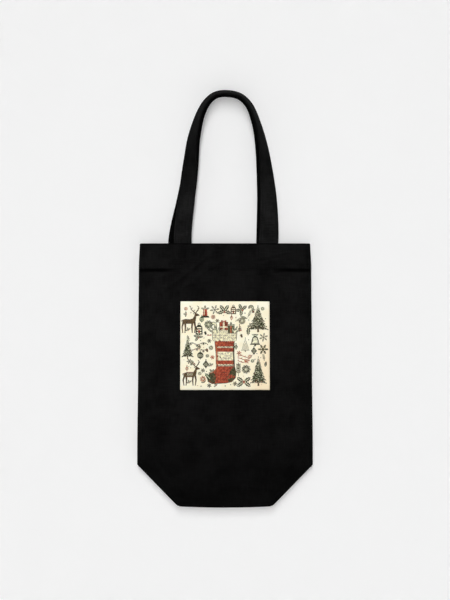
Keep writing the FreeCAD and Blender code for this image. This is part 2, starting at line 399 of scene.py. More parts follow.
def sewing_thread():
    """Three-ply thread: a slanting twist, slightly glossier than the cotton."""
    shader = Shader("black_thread")
    where = shader.place()
    slant = (where.part("X") + where.part("Y") + where.part("Z")) * (2 * math.pi / (0.45 * MM))
    twist = slant.sine() * 0.5 + 0.5
    tone = shader.noise(where, 900.0, 2.0)
    base = shader.blend(twist * 0.5 + tone * 0.5, colour(3, 3, 3), colour(8, 8, 8))
    return shader.surface(Base_Color=base, Roughness=0.8, Specular_IOR_Level=0.1,
                          Normal=shader.bump(twist, 0.6, 0.08 * MM))


THREAD = sewing_thread()
print("thread finish:", THREAD.name)

# %% [markdown]
# ## The cloth of the bag
#
# The real bag is two cuts of canvas sewn at the sides and under the base. Flat five-sided panels
# would look like card, and a simulated balloon would lose its hem, so the cloth is lofted as one
# shell. Each column of points follows one warp thread: from the raw edge hidden in the hem, down
# to the hem's fold, up inside, over the mouth, down the outside, round the bottom fold and up
# again to the ridge of the tucked base. Front and back columns meet at the side seams.
#
# First comes the shape of the outside on its own, because the print and the stitches lie on it.

# %% Width, depth and bottom edge
CLOTH = 0.78 * MM
HEM_LAYER = 0.80 * MM
FOLD_DEPTH = 4.6 * MM
SEAM_PINCH = 0.5 * MM
CORNER_START, CORNER_SOFT, CORNER_SLOPE = 1.4 * MM, 1.2 * MM, 1.28 * MM
BASE_BOW = 1.3 * MM
WIDTH_STOPS = ((0.0, 1.020), (0.06, 1.020), (0.17, 1.010), (HEM_EDGE, 1.002), (MOUTH, 0.991))


def width_share(z):
    """The bag spreads a little towards its base."""
    for (low, first), (high, second) in zip(WIDTH_STOPS, WIDTH_STOPS[1:]):
        if z <= high:
            return mix(first, second, smooth(low, high, z))
    return WIDTH_STOPS[-1][1]


def closing(x):
    """How much of the full depth the shell has at x: 1 in the middle, 0 at the side seams."""
    return math.sqrt(max(0.0, 1 - abs(x / HALF) ** 9))


def base_line(x):
    """Height of the bottom edge: nearly straight, then up along the boxed corner."""
    reach = (abs(x) - BASE_HALF - CORNER_START) / CORNER_SOFT
    corner = CORNER_SLOPE * (reach if reach > 30 else math.log1p(math.exp(reach)))
    return corner + BASE_BOW * min(1.0, abs(x) / BASE_HALF) ** 2 * (1 - corner / CORNER)


print(f"bottom edge at the side seam: {base_line(HALF) / MM:.1f} mm up")

# %% [markdown]
# Cloth that has been folded flat and pressed keeps creases, most of them running from the hem
# and the corners. Each is a ridge along a short line, given by its ends, width and height. The
# front's list serves the back as well, left for right. Even noise of three sizes adds the
# unevenness that no line describes.

# %% Creases


def crease(x, z, start, end, wide):
    """1 along a line from start to end, fading to 0 at its sides and ends."""
    run_x, run_z = end[0] - start[0], end[1] - start[1]
    length = math.hypot(run_x, run_z)
    along = ((x - start[0]) * run_x + (z - start[1]) * run_z) / length
    aside = ((x - start[0]) * run_z - (z - start[1]) * run_x) / length
    fade = smooth(-0.2, 0.25, along / length) * (1 - smooth(0.75, 1.2, along / length))
    return math.exp(-(aside / wide) ** 2) * fade


CREASES = (
    ((-0.070, 0.250), (-0.016, 0.293), 2.4 * MM, 1.05 * MM),
    ((-0.056, 0.248), (-0.006, 0.284), 2.0 * MM, 0.60 * MM),
    ((-0.040, 0.262), (-0.026, 0.298), 2.2 * MM, 0.50 * MM),
    ((-0.094, 0.262), (-0.050, 0.272), 2.4 * MM, 0.70 * MM),
    ((0.092, 0.256), (0.044, 0.272), 2.4 * MM, 0.70 * MM),
    ((0.034, 0.286), (0.076, 0.296), 2.2 * MM, 0.55 * MM),
    ((0.060, 0.250), (0.030, 0.284), 2.6 * MM, 0.40 * MM),
    ((0.094, 0.230), (0.060, 0.262), 3.4 * MM, 0.45 * MM),
    ((-0.094, 0.215), (-0.066, 0.180), 4.5 * MM, 0.50 * MM),
    ((0.092, 0.140), (0.068, 0.098), 4.5 * MM, 0.50 * MM),
    ((-0.088, 0.064), (-0.048, 0.016), 4.5 * MM, 0.80 * MM),
    ((0.086, 0.066), (0.046, 0.016), 4.5 * MM, 0.80 * MM),
    ((-0.034, 0.034), (0.036, 0.024), 5.0 * MM, 0.55 * MM),
    ((-0.060, 0.110), (-0.010, 0.094), 6.0 * MM, 0.40 * MM),
)
CREASE_STRENGTH = 2.3
SWELLS = ((58 * MM, 0.0, 0.60 * MM), (19 * MM, 0.3, 0.26 * MM), (8 * MM, 0.7, 0.09 * MM))
print("creases on a side:", len(CREASES))

# %% Marks of the hem and of the strap ends
BOX_GROOVE = 0.24 * MM
STRAP_RISE = 0.18 * MM
HEM_HOLLOW = 2.3 * MM
HEM_STEP_MIDDLE, HEM_STEP_SIDE = 0.45, 0.95
ROW_PULL, ROW_UNEVEN = 0.10 * MM, 0.06 * MM
BELLY = 0.9 * MM
SIDE_FROM, SIDE_TO = 0.052, 0.074
DIMPLE_X, DIMPLE_Z = 0.052, 0.2905


def fade_below_mouth(z):
    """1 on the body, 0 at the rim, where the cloth is folded over and shows no marks."""
    return 1 - smooth(MOUTH - 1.2 * MM, MOUTH, z)


def strap_mark(aside, z):
    """The mark of the strap end behind the hem, and of the stitched box that holds it."""
    behind = smooth(STRAP_LOW.z - 2 * MM, STRAP_LOW.z + 2 * MM, z)
    raised = STRAP_RISE * behind * (1 - smooth(STRAP_WIDTH / 2 - 1.5 * MM, STRAP_WIDTH / 2, aside))
    out_x = abs(aside - BOX_HALF)
    out_z = min(abs(z - BOX_LOW.z), abs(z - BOX_HIGH.z))
    inside_x = aside < BOX_HALF + 1 * MM
    inside_z = BOX_LOW.z - 1 * MM < z < BOX_HIGH.z + 1 * MM
    line_x = math.exp(-(out_x / (0.9 * MM)) ** 2) if inside_z else 0.0
    line_z = math.exp(-(out_z / (0.9 * MM)) ** 2) if inside_x else 0.0
    return raised - BOX_GROOVE * max(line_x, line_z)


print(f"mark over the middle of a strap end: {strap_mark(0.0, HEM_ROW) / MM:.2f} mm")

# %% The relief


def relief(side, x, z):
    """How far the cloth stands out from its plain shape."""
    lift = BELLY * math.sin(math.pi * min(max(z / MOUTH, 0.0), 1.0))
    for size, shift, high in SWELLS:
        lift += high * ripple(size, x + shift, side * 0.07, z)
    turned = x if side == FRONT else -x
    for start, end, wide, high in CREASES:
        lift += CREASE_STRENGTH * high * crease(turned, z, start, end, wide)
    sides = smooth(SIDE_FROM, SIDE_TO, abs(x))
    step = smooth(HEM_EDGE - 2.4 * MM, HEM_EDGE + 0.6 * MM, z)
    lift += mix(HEM_STEP_MIDDLE, HEM_STEP_SIDE, sides) * MM * (step - 1)
    hollow = math.exp(-((z - HEM_EDGE + 2.6 * MM) / (2.4 * MM)) ** 2)
    lift -= HEM_HOLLOW * sides * hollow
    near_row = math.exp(-((z - HEM_ROW) / (1.0 * MM)) ** 2)
    lift -= near_row * (ROW_PULL + ROW_UNEVEN * ripple(5 * MM, x, side * 0.2, z))
    middles = (-STRAP_X, STRAP_X) if side == FRONT else (-STRAP_X - BACK_SHIFT, BACK_STRAP_X)
    for middle in middles:
        lift += strap_mark(abs(x - middle), z) * fade_below_mouth(z)
    dimple = (turned - DIMPLE_X) ** 2 + (z - DIMPLE_Z) ** 2
    lift -= 0.35 * MM * math.exp(-dimple / (7 * MM) ** 2)
    return lift * closing(x) ** 2


# %% The outer surface
TUCK_REACH = 22 * MM
PINCH_REACH = 1.8 * MM


def outside(side, x, z, inset=0.0):
    """The point at x across the flat cloth and height z, on the surface or inset below it."""
    base = base_line(x)
    full = DEPTH * closing(x) + relief(side, x, z)
    folded = FOLD_DEPTH * max(0.0, 1 - base / CORNER)
    deep = mix(folded, full, smooth(0.0, TUCK_REACH, z - base))
    pinch = math.copysign(SEAM_PINCH, x) * (1 - smooth(0.0, PINCH_REACH, HALF - abs(x)))
    across = x * width_share(z) - pinch
    deep *= max(0.0, 1 - inset / DEPTH)
    return Vector((across * (1 - 1.5 * inset / HALF), side * deep, z))


print(f"outside in the middle of the front: {outside(FRONT, 0.0, MOUTH / 2)}")

# %% [markdown]
# The rows are close together near the hem, where there are folds and stitches, and wider over
# the plain body. The columns crowd towards the side seams, where the shell turns quickly.

# %% The path of one thread
COLUMNS = 112
PLAIN_LOW = 0.060
PLAIN_ROWS, LOW_ROWS = 94, 22
HIDDEN_RISES = (11, 7, 3.5, 0.5)
INNER_RISES = (0.5, 2.2, 3.0, 3.8, 6, 9, 12, 15, 18, 21, 24, 26)
TUCK_ROWS = 18


def column_place(step):
    """Where a column stands across the flat cloth."""
    share = 2 * step / COLUMNS - 1
    return HALF * (0.55 * share + 0.45 * math.sin(share * math.pi / 2))


def hem_path(side, x):
    """Hidden edge, hem fold and inner layer, up to the start of the fold at the mouth."""
    middle, inner = HEM_LAYER, 3 * HEM_LAYER - 0.04 * MM
    turn = (inner - middle) / 2
    points = [outside(side, x, HEM_EDGE + turn + rise * MM, middle) for rise in HIDDEN_RISES]
    for step in range(1, 5):
        angle = math.pi * step / 5
        depth = (middle + inner) / 2 - turn * math.cos(angle)
        points.append(outside(side, x, HEM_EDGE + turn - turn * math.sin(angle), depth))
    points += [outside(side, x, HEM_EDGE + turn + rise * MM, inner) for rise in INNER_RISES]
    radius = inner / 2
    for step in range(1, 8):
        angle = math.pi * step / 8
        depth = radius + radius * math.cos(angle)
        points.append(outside(side, x, MOUTH - radius + radius * math.sin(angle), depth))
    return points


def fold_radius(x):
    """Radius of the bottom fold, which narrows to nothing at the side seams."""
    return min(0.9 * MM, 0.45 * FOLD_DEPTH * max(0.0, 1 - base_line(x) / CORNER))


def body_path(side, x):
    """The outer cloth, down to the start of the bottom fold."""
    start = MOUTH - 1.5 * HEM_LAYER
    heights = [start - step * MM for step in range(int((start - HEM_EDGE) / MM) + 5)]
    top = heights[-1]
    heights += [mix(top, PLAIN_LOW, step / PLAIN_ROWS) for step in range(1, PLAIN_ROWS + 1)]
    bottom = base_line(x) + fold_radius(x)
    heights += [mix(PLAIN_LOW, bottom, step / LOW_ROWS) for step in range(1, LOW_ROWS + 1)]
    return [outside(side, x, z) for z in heights]


def tuck_path(side, x):
    """Round the bottom fold and up to the ridge of the tucked base."""
    turn = fold_radius(x)
    start = outside(side, x, base_line(x) + turn)
    deep = abs(start.y)
    points = []
    for step in range(1, 6):
        angle = math.pi * step / 6
        y = deep - turn + turn * math.cos(angle)
        points.append(Vector((start.x, side * y, start.z - turn * math.sin(angle))))
    ridge = Vector((start.x, 0.0, max(CORNER, base_line(x) + turn)))
    inner = Vector((start.x, side * (deep - 2 * turn), start.z))
    for step in range(TUCK_ROWS + 1):
        share = step / TUCK_ROWS
        point = inner.lerp(ridge, share)
        sag = 0.35 * MM * math.sin(math.pi * share) * ripple(16 * MM, x, side * 0.4, point.z)
        point.y += side * abs(sag)
        points.append(point)
    return points


print(f"rows in a column: {len(hem_path(FRONT, 0.0) + body_path(FRONT, 0.0) + tuck_path(FRONT, 0.0))}")

# %% Loft the cloth


def cloth_side(side):
    """One cut of cloth as an open sheet, and its length from hem to ridge."""
    steps = range(COLUMNS + 1) if side == BACK else range(COLUMNS, -1, -1)
    columns = []
    for step in steps:
        x = column_place(step)
        columns.append(hem_path(side, x) + body_path(side, x) + tuck_path(side, x))
    rows = [list(row) for row in zip(*columns)]
    places = [column_place(step) + (0.0 if side == BACK else 0.25) for step in steps]
    middle = columns[COLUMNS // 2]
    along, length = [0.0], 0.0
    for point, after in zip(middle, middle[1:]):
        length += (after - point).length
        along.append(length)
    cloth_map = [[(x, -run) for x in places] for run in along]
    return grid_object("cloth_side", rows, cloth_map), length


def join(name, parts):
    """One mesh from several that already lie in their places."""
    work = bmesh.new()
    for part in parts:
        work.from_mesh(part.data)
        bpy.data.objects.remove(part)
    mesh = bpy.data.meshes.new(name)
    work.to_mesh(mesh)
    work.free()
    return new_object(name, mesh)


def thicken(piece, depth):
    """Gives a sheet its thickness, inwards from its face."""
    wall = piece.modifiers.new("thickness", "SOLIDIFY")
    wall.thickness = depth
    wall.offset = -1.0
    apply_modifiers(piece)


front_side, CUT_LENGTH = cloth_side(FRONT)
back_side, _ = cloth_side(BACK)
bag_cloth = join("bag_cloth", [front_side, back_side])
weld(bag_cloth, 0.02 * MM)
thicken(bag_cloth, CLOTH)
bag_cloth.data.materials.append(CLOTH_BLACK)
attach(bag_cloth, "bag")
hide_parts("front_panel", "back_panel", "front_left_side", "front_right_side",
            "back_left_side", "back_right_side", "front_hem", "back_hem", "front_base_tuck",
            "back_base_tuck")
print(f"cloth: {triangles(bag_cloth)} triangles, cut {CUT_LENGTH / MM:.0f} mm long a side")

# %% [markdown]
# The sewn allowances inside are loose strips, two layers of canvas overlocked along the edge.
# They are seen only by looking into the mouth, so each is one soft-edged strip that waves a
# little, rather than two layers and a thousand loops of thread.

# %% Lay the inside seams
SEAM_NODES = ("left_side_seam", "right_side_seam", "base_seam", "front_left_corner_seam",
              "front_right_corner_seam", "back_left_corner_seam", "back_right_corner_seam")
SEAM_THICK = 1.5 * MM
SEAM_STEP = 2.5 * MM
SEAM_SPOKES = 16


def close_ends(piece):
    """Fills the open rings of a tube, and turns every face out."""
    work = bmesh.new()
    work.from_mesh(piece.data)
    rims = [edge for edge in work.edges if edge.is_boundary]
    bmesh.ops.holes_fill(work, edges=rims, sides=0)
    bmesh.ops.recalc_face_normals(work, faces=work.faces)
    work.to_mesh(piece.data)
    work.free()


def seam_strip(node):
    """A strip along the long side of a node's box, in the middle of its depth."""
    low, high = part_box(node)
    middle_y = (low.y + high.y) / 2 + math.copysign(0.5 * MM, low.y + high.y) * ("corner" in node)
    upright = high.z - low.z > high.x - low.x
    first, last = (low.z + 4 * MM, high.z - 1 * MM) if upright else (low.x + MM, high.x - MM)
    wide_low, wide_high = (low.x, high.x) if upright else (low.z, high.z)
    rows, cloth_map = [], []
    for step in range(int((last - first) / SEAM_STEP) + 2):
        run = min(first + step * SEAM_STEP, last)
        ring, map_row = [], []
        for spoke in range(SEAM_SPOKES + 1):
            angle = 2 * math.pi * spoke / SEAM_SPOKES
            across = math.copysign(abs(math.cos(angle)) ** 0.35, math.cos(angle))
            wide = mix(wide_low, wide_high, 0.5 + 0.5 * across)
            wide += 0.4 * MM * ripple(9 * MM, run, angle, 0.3)
            sway = 0.25 * MM * ripple(24 * MM, run, wide, 1.7)
            deep = middle_y + sway + 0.5 * SEAM_THICK * math.sin(angle)
            ring.append(Vector((wide, deep, run) if upright else (run, deep, wide)))
            map_row.append((wide + (0.1 if math.sin(angle) > 0 else 0.0), run))
        rows.append(ring[:SEAM_SPOKES])
        cloth_map.append(map_row)
    strip = grid_object("strip", rows, cloth_map, closed=True)
    close_ends(strip)
    return strip


inside_seams = join("inside_seams", [seam_strip(node) for node in SEAM_NODES])
inside_seams.data.materials.append(CLOTH_BLACK)
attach(inside_seams, "bag")
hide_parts(*SEAM_NODES)
print("inside seams:", triangles(inside_seams), "triangles")

# %% [markdown]
# ## The strap handles
#
# Each handle is a strip of canvas folded to four layers, so it is flat and fairly stiff. Pulled
# up by hand it stands in a tall arch, and because it is flat it turns its outer face forward as
# it bends over. It is webbing-like, so it is lofted directly: one cross-section with soft folded
# edges and two sunk rows of topstitching, carried along the arch from sewn end to sewn end.
# The two straps don't lie quite one behind the other: the left leg of the front one leans
# inwards and is seen a little on edge, so the back one shows as a strip beside it, dark with painted
# shade in its canvas.
#
# The route is a list of shares: across, of the way from the middle of the bag to a strap's foot,
# and up, of the rise from the foot to the top of the arch.

# %% Strap route
HANDLE_ROUTE = ((-1.00, 0.00), (-0.865, 0.31), (-0.764, 0.56), (-0.705, 0.70), (-0.585, 0.84),
                (-0.415, 0.94), (-0.21, 0.99), (0.05, 1.00), (0.34, 0.98), (0.55, 0.92),
                (0.69, 0.82), (0.80, 0.70), (0.89, 0.53), (0.97, 0.29), (1.00, 0.00))
HANDLE_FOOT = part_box("front_handle_strap")[0].z
ARCH_TOP = 0.4782
HANDLE_RISE = ARCH_TOP - HANDLE_FOOT
HANDLE_TURN = math.radians(74)
SHOULDER_TURN = math.radians(8)
UNEVEN_TURN = math.radians(14)
STRAP_SHOWN = 0.945
LEFT_LEAN, RIGHT_LEAN = -2.3 * MM, 0.8 * MM
LEFT_SLIM = 0.91
BASE_SPACING = 2 * abs(STRAP_Y)
TOP_SPACING = 3.0 * MM
STATION_GAP = 1.25 * MM


# %% A smooth route


def curve_through(points, spacing):
    """Evenly spaced places, and directions, on a smooth line through the points."""
    lengths = [0.0]
    for point, after in zip(points, points[1:]):
        lengths.append(lengths[-1] + (after - point).length)
    slopes = []
    for place in range(len(points)):
        before, after = max(place - 1, 0), min(place + 1, len(points) - 1)
        slopes.append((points[after] - points[before]) / (lengths[after] - lengths[before]))
    slopes[0] = Vector((0, 0, 1))
    slopes[-1] = Vector((0, 0, -1))
    stations = []
    count = int(lengths[-1] / spacing) + 1
    for step in range(count + 1):
        run = lengths[-1] * step / count
        span = min(bisect.bisect_right(lengths, run), len(points) - 1) - 1
        gap = lengths[span + 1] - lengths[span]
        share = (run - lengths[span]) / gap
        a, b = points[span], points[span + 1]
        p, q = slopes[span] * gap, slopes[span + 1] * gap
        place = (a * (2 * share ** 3 - 3 * share ** 2 + 1) + p * (share ** 3 - 2 * share ** 2 + share)
                 + b * (3 * share ** 2 - 2 * share ** 3) + q * (share ** 3 - share ** 2))
        slope = (a * (6 * share ** 2 - 6 * share) + p * (3 * share ** 2 - 4 * share + 1)
                 + b * (6 * share - 6 * share ** 2) + q * (3 * share ** 2 - 2 * share))
        stations.append((place, slope.normalized()))
    return stations


corner = [Vector((0, 0, 0)), Vector((0, 0, 1)), Vector((1, 0, 1))]
print("places on a rounded corner:", len(curve_through(corner, 0.25)))

# %% Stations along a strap


def climb(start):
    """Heights from the start of a sewn end up to the foot of the handle."""
    count = int((HANDLE_FOOT - start) / STATION_GAP)
    return [mix(start, HANDLE_FOOT, step / count) for step in range(count)]


def strap_stations(side):
    """Middle, across and outward directions along a whole strap, sewn ends included."""
    heights = climb(STRAP_LOW.z + 0.2 * MM)
    route = [Vector((STRAP_X * x, 0.0, HANDLE_FOOT + HANDLE_RISE * z)) for x, z in HANDLE_ROUTE]
    arch = curve_through(route, STATION_GAP)
    left = [(Vector((-STRAP_X, 0.0, z)), Vector((0, 0, 1))) for z in heights]
    right = [(Vector((STRAP_X, 0.0, z)), Vector((0, 0, -1))) for z in heights]
    stations = []
    for place, forward in left + arch + right[::-1]:
        share = max(0.0, (place.z - HANDLE_FOOT) / HANDLE_RISE)
        turned = HANDLE_TURN * share ** 0.8
        turned += SHOULDER_TURN * math.sin(math.pi * min(share, 1.0) ** 3)
        turned += UNEVEN_TURN * math.copysign(1 - share, place.x) * share ** 0.5
        outward = Vector((-forward.z, 0.0, forward.x))
        off = outward * math.sin(turned) + Vector((0.0, -math.cos(turned), 0.0))
        across = outward * math.cos(turned) + Vector((0.0, math.sin(turned), 0.0))
        gap = mix(BASE_SPACING, TOP_SPACING, share)
        middle = place - side * off * gap / 2
        held = max(0.0, 1 - share) ** 2.2
        lean = BACK_SHIFT
        if side == FRONT:
            lean = LEFT_LEAN if place.x < 0 else RIGHT_LEAN
        middle.x -= lean * held
        stations.append((middle, across, off))
    return stations


print("stations along a strap:", len(strap_stations(FRONT)))

# %% [markdown]
# The cross-section is listed as a height over the strap's width. One long edge shows two folds
# with a valley between them, where the four layers close, and the other is a single round fold.

# %% The strap's cross-section
EDGE_ROW = 2.5 * MM
VALLEY_DEEP, VALLEY_HALF = 0.55 * MM, 0.45 * MM
HALF_STRAP = STRAP_WIDTH / 2
SECTION_STEPS = (0, 0.25, 0.6, 1.0, 1.5, 2.0, 2.3, 2.5, 2.7, 3.1, 3.8, 5.0, 6.6, 8.4, 10.2, 12.0)


def strap_height(aside):
    """Half the strap's thickness at a distance in from its edge."""
    round_edge = math.sqrt(max(0.0, 1 - (1 - min(aside / MM, 1.0)) ** 2))
    groove = 0.26 * MM * math.exp(-((aside - EDGE_ROW) / (0.45 * MM)) ** 2)
    return (STRAP_THICK / 2 - 0.02 * MM) * round_edge - groove


def strap_section():
    """Points round the strap as (across, off): over the outer face, then back underneath."""
    insets = [step * MM for step in SECTION_STEPS]
    over = [(-HALF_STRAP + inset, strap_height(inset)) for inset in insets]
    over += [(-across, off) for across, off in over[-2:0:-1]]
    lip = HALF_STRAP - 0.05 * MM
    valley = [(lip, VALLEY_HALF), (HALF_STRAP - VALLEY_DEEP, 0.0), (lip, -VALLEY_HALF)]
    under = [(across, -off) for across, off in over[::-1] if off]
    return over + valley + under


print("points round the section:", len(strap_section()))

# %% Loft the straps
SWAY, WIDTH_UNEVEN, PUCKER = 0.22 * MM, 0.010, 0.05 * MM


def wave(side, run):
    """Small unevenness of a strap along its length: sway off the route, and its width."""
    sway = SWAY * ripple(26 * MM, run, side * 3.1, 0.0)
    width = 1 + WIDTH_UNEVEN * ripple(18 * MM, run, side * 5.3, 4.0)
    return sway, width


def strap_rings(side, section):
    """The section carried along the strap, and the run of each ring."""
    rings, runs, run = [], [], 0.0
    stations = strap_stations(side)
    before = stations[0][0]
    for middle, across, off in stations:
        run += (middle - before).length
        before = middle
        held = smooth(MOUTH - 2 * MM, MOUTH + 14 * MM, middle.z)
        sway, width = wave(side, run)
        width = mix(1.0, width, held) * STRAP_SHOWN
        if side == FRONT and middle.x < 0:
            width *= mix(1.0, LEFT_SLIM, smooth(HANDLE_TOP, MOUTH, middle.z))
        ring = []
        for aside, height in section:
            pucker = PUCKER * ripple(3.2 * MM, run, aside * 0.4, side * 2.0)
            lift = height + (sway * held) + pucker * (1 if height > 0 else -1) * held
            ring.append(middle + across * aside * width + off * lift)
        rings.append(ring)
        runs.append(run)
    return rings, runs


def make_strap(name, side):
    """A strap as one closed mesh, and its length."""
    section = strap_section()
    rings, runs = strap_rings(side, section)
    around = [0.0]
    for first, after in zip(section, section[1:] + section[:1]):
        around.append(around[-1] + math.hypot(after[0] - first[0], after[1] - first[1]))
    cloth_map = [[(turn + 0.5, run + 0.1 * side) for turn in around] for run in runs]
    strap = grid_object(name, rings, cloth_map, closed=True)
    close_ends(strap)
    strap.data.materials.append(STRAP_BLACK if side == FRONT else STRAP_SHADED)
    print(f"{name}: {triangles(strap)} triangles, {runs[-1] / MM:.0f} mm long")
    return strap, runs[-1]


# %% [markdown]
# A handle folds down over the mouth. A pin would be wrong for cloth; here each strap and its stitches
# only have their place baked into their mesh, and do not bend at the mouth.


def bend_at_mouth(piece, side):
    """Bakes the piece's place into its mesh; it does not bend at the mouth."""
    y = side * HINGE_Y
    SIDE_WORD[side] + "_handle"
    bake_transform(piece)


for side, word in SIDE_WORD.items():
    strap, strap_length = make_strap(word + "_strap", side)
    bend_at_mouth(strap, side)
    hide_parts(word + "_handle_strap", word + "_left_strap_end",
                word + "_right_strap_end")

# %% [markdown]
# ## Stitches
#
# Every row of stitches is the same thing repeated: a short bead of thread, pulled into the cloth
# at both ends, one after another along a line. That is a job for Geometry Nodes. The line is a
# mesh of edges that carries the direction out of the cloth on its points. The tree turns it into
# a curve, spaces points along it, and sets one bead on each, turned along the line.

# %% A tree that sews a row


def add_node(tree, kind, settings, links):
    """A node with its settings, whose inputs are values or other nodes' outputs."""
    node = tree.nodes.new(kind)
    for setting, value in settings.items():
        setattr(node, setting, value)
    for place, value in links.items():
        socket = node.inputs[place]
        if isinstance(value, bpy.types.NodeSocket):
            tree.links.new(value, socket)
        else:
            socket.default_value = value
    return node


def sewing_tree():
    """Beads of thread along a line, as a tree whose sizes are its inputs."""
    tree = bpy.data.node_groups.new("sewn_row", "GeometryNodeTree")
    face = tree.interface
    face.new_socket("Line", in_out="INPUT", socket_type="NodeSocketGeometry")
    for title in ("Pitch", "Length", "Thickness", "Wander"):
        face.new_socket(title, in_out="INPUT", socket_type="NodeSocketFloat")
    face.new_socket("Seed", in_out="INPUT", socket_type="NodeSocketInt")
    face.new_socket("Thread", in_out="INPUT", socket_type="NodeSocketMaterial")
    face.new_socket("Stitches", in_out="OUTPUT", socket_type="NodeSocketGeometry")
    given = tree.nodes.new("NodeGroupInput").outputs
    result = tree.nodes.new("NodeGroupOutput")
    line = add_node(tree, "GeometryNodeMeshToCurve", {}, {0: given["Line"]})
    spaced = add_node(tree, "GeometryNodeResampleCurve", {"mode": "LENGTH"},
                      {"Curve": line.outputs[0], "Length": given["Pitch"]})
    bead = add_node(tree, "GeometryNodeMeshUVSphere", {},
                    {"Segments": 8, "Rings": 5, "Radius": 0.5})
    laid = add_node(tree, "GeometryNodeTransform", {},
                    {"Geometry": bead.outputs[0], "Rotation": (0.0, math.pi / 2, 0.0)})
    tangent = tree.nodes.new("GeometryNodeInputTangent")
    outward = add_node(tree, "GeometryNodeInputNamedAttribute", {"data_type": "FLOAT_VECTOR"},
                       {"Name": "out_of_cloth"})
    along = add_node(tree, "FunctionNodeAlignRotationToVector", {"axis": "X"},
                     {"Vector": tangent.outputs[0]})
    upright = add_node(tree, "FunctionNodeAlignRotationToVector",
                       {"axis": "Z", "pivot_axis": "X"},
                       {"Rotation": along.outputs[0], "Vector": outward.outputs[0]})
    stray = add_node(tree, "FunctionNodeRandomValue", {"data_type": "FLOAT"},
                     {2: -1.0, 3: 1.0, "Seed": given["Seed"]})
    slant = add_node(tree, "ShaderNodeMath", {"operation": "MULTIPLY"},
                     {0: stray.outputs[1], 1: given["Wander"]})
    turn = add_node(tree, "FunctionNodeAxisAngleToRotation", {},
                    {"Axis": (0.0, 0.0, 1.0), "Angle": slant.outputs[0]})
    turned = add_node(tree, "FunctionNodeRotateRotation", {"rotation_space": "LOCAL"},
                      {0: upright.outputs[0], 1: turn.outputs[0]})
    flat = add_node(tree, "ShaderNodeMath", {"operation": "MULTIPLY"},
                    {0: given["Thickness"], 1: 0.8})
    size = add_node(tree, "ShaderNodeCombineXYZ", {},
                    {0: given["Length"], 1: given["Thickness"], 2: flat.outputs[0]})
    sewn = add_node(tree, "GeometryNodeInstanceOnPoints", {},
                    {"Points": spaced.outputs[0], "Instance": laid.outputs[0],
                     "Rotation": turned.outputs[0], "Scale": size.outputs[0]})
    real = add_node(tree, "GeometryNodeRealizeInstances", {}, {0: sewn.outputs[0]})
    soft = add_node(tree, "GeometryNodeSetShadeSmooth", {}, {0: real.outputs[0]})
    done = add_node(tree, "GeometryNodeSetMaterial", {},
                    {"Geometry": soft.outputs[0], "Material": given["Thread"]})
    tree.links.new(done.outputs[0], result.inputs[0])
    return tree


SEWN_ROW = sewing_tree()
print("nodes in the sewing tree:", len(SEWN_ROW.nodes))

# %% [markdown]
# The hem is held by one row of stitches all round the mouth. Its line is worked out on the
# outside of the cloth, a hair above it, with the direction out of the cloth at every point.

# %% Sew the hem
STITCH_PITCH, STITCH_LENGTH, STITCH_THICK = 3.0 * MM, 2.7 * MM, 0.5 * MM
STITCH_WANDER = 0.10


def sew(name, lines, seed):
    """Stitches along lines of (point, outward) pairs, as one plain mesh."""
    points, edges, outward = [], [], []
    for line in lines:
        first = len(points)
        points.extend(point for point, _ in line)
        outward.extend(value for _, off in line for value in off)
        edges.extend((first + place, first + place + 1) for place in range(len(line) - 1))
    mesh = bpy.data.meshes.new(name)
    mesh.from_pydata(points, edges, [])
    layer = mesh.attributes.new("out_of_cloth", "FLOAT_VECTOR", "POINT")
    layer.data.foreach_set("vector", outward)
    piece = new_object(name, mesh)
    rows = piece.modifiers.new("stitches", "NODES")
    rows.node_group = SEWN_ROW
    values = {"Pitch": STITCH_PITCH, "Length": STITCH_LENGTH, "Thickness": STITCH_THICK,
              "Wander": STITCH_WANDER, "Seed": seed, "Thread": THREAD}
    for socket in SEWN_ROW.interface.items_tree:
        if socket.name in values:
            rows[socket.identifier] = values[socket.name]
    apply_modifiers(piece)
    print(f"{name}: {triangles(piece)} triangles")
    return piece


def on_cloth(side, x, z, proud=0.05 * MM):
    """A point on the outside of the cloth and the direction out of it."""
    here = outside(side, x, z)
    aside = outside(side, x + 0.5 * MM, z) - here
    up = outside(side, x, z + 0.5 * MM) - here
    out = aside.cross(up).normalized() * (1 if side == FRONT else -1)
    return here + out * proud, out


HEM_REACH = HALF - 1.2 * MM
HEM_STEPS = 80
hem_places = [-HEM_REACH + step * HEM_REACH / HEM_STEPS for step in range(2 * HEM_STEPS + 1)]
hem_lines = [[on_cloth(side, x, HEM_ROW) for x in hem_places] for side in (FRONT, BACK)]
hem_stitches = sew("hem_stitches", hem_lines, seed=3)
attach(hem_stitches, "bag")
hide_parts("front_hem_thread", "back_hem_thread")

# %% [markdown]
# A strap end is held by a box of stitches through the hem and the strap together. The machine
# goes round the box in one run, so the corners share a hole.

# %% Sew the strap ends on


BOX_STEPS = 10


def box_line(side, middle):
    """Once round the box whose middle is there."""
    low, high = BOX_LOW.z + 0.3 * MM, BOX_HIGH.z - 0.3 * MM
    corners = [(-BOX_HALF, low), (BOX_HALF, low), (BOX_HALF, high), (-BOX_HALF, high),
               (-BOX_HALF, low)]
    line = []
    for (x, z), (next_x, next_z) in zip(corners, corners[1:]):
        for step in range(BOX_STEPS):
            share = step / BOX_STEPS
            line.append(on_cloth(side, middle + mix(x, next_x, share), mix(z, next_z, share)))
    line.append(on_cloth(side, middle - BOX_HALF, low))
    return line


box_lines = [box_line(FRONT, -STRAP_X), box_line(FRONT, STRAP_X),
             box_line(BACK, -STRAP_X - BACK_SHIFT), box_line(BACK, BACK_STRAP_X)]
strap_box_stitches = sew("strap_box_stitches", box_lines, seed=5)
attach(strap_box_stitches, "bag")
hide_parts("front_strap_thread", "back_strap_thread")

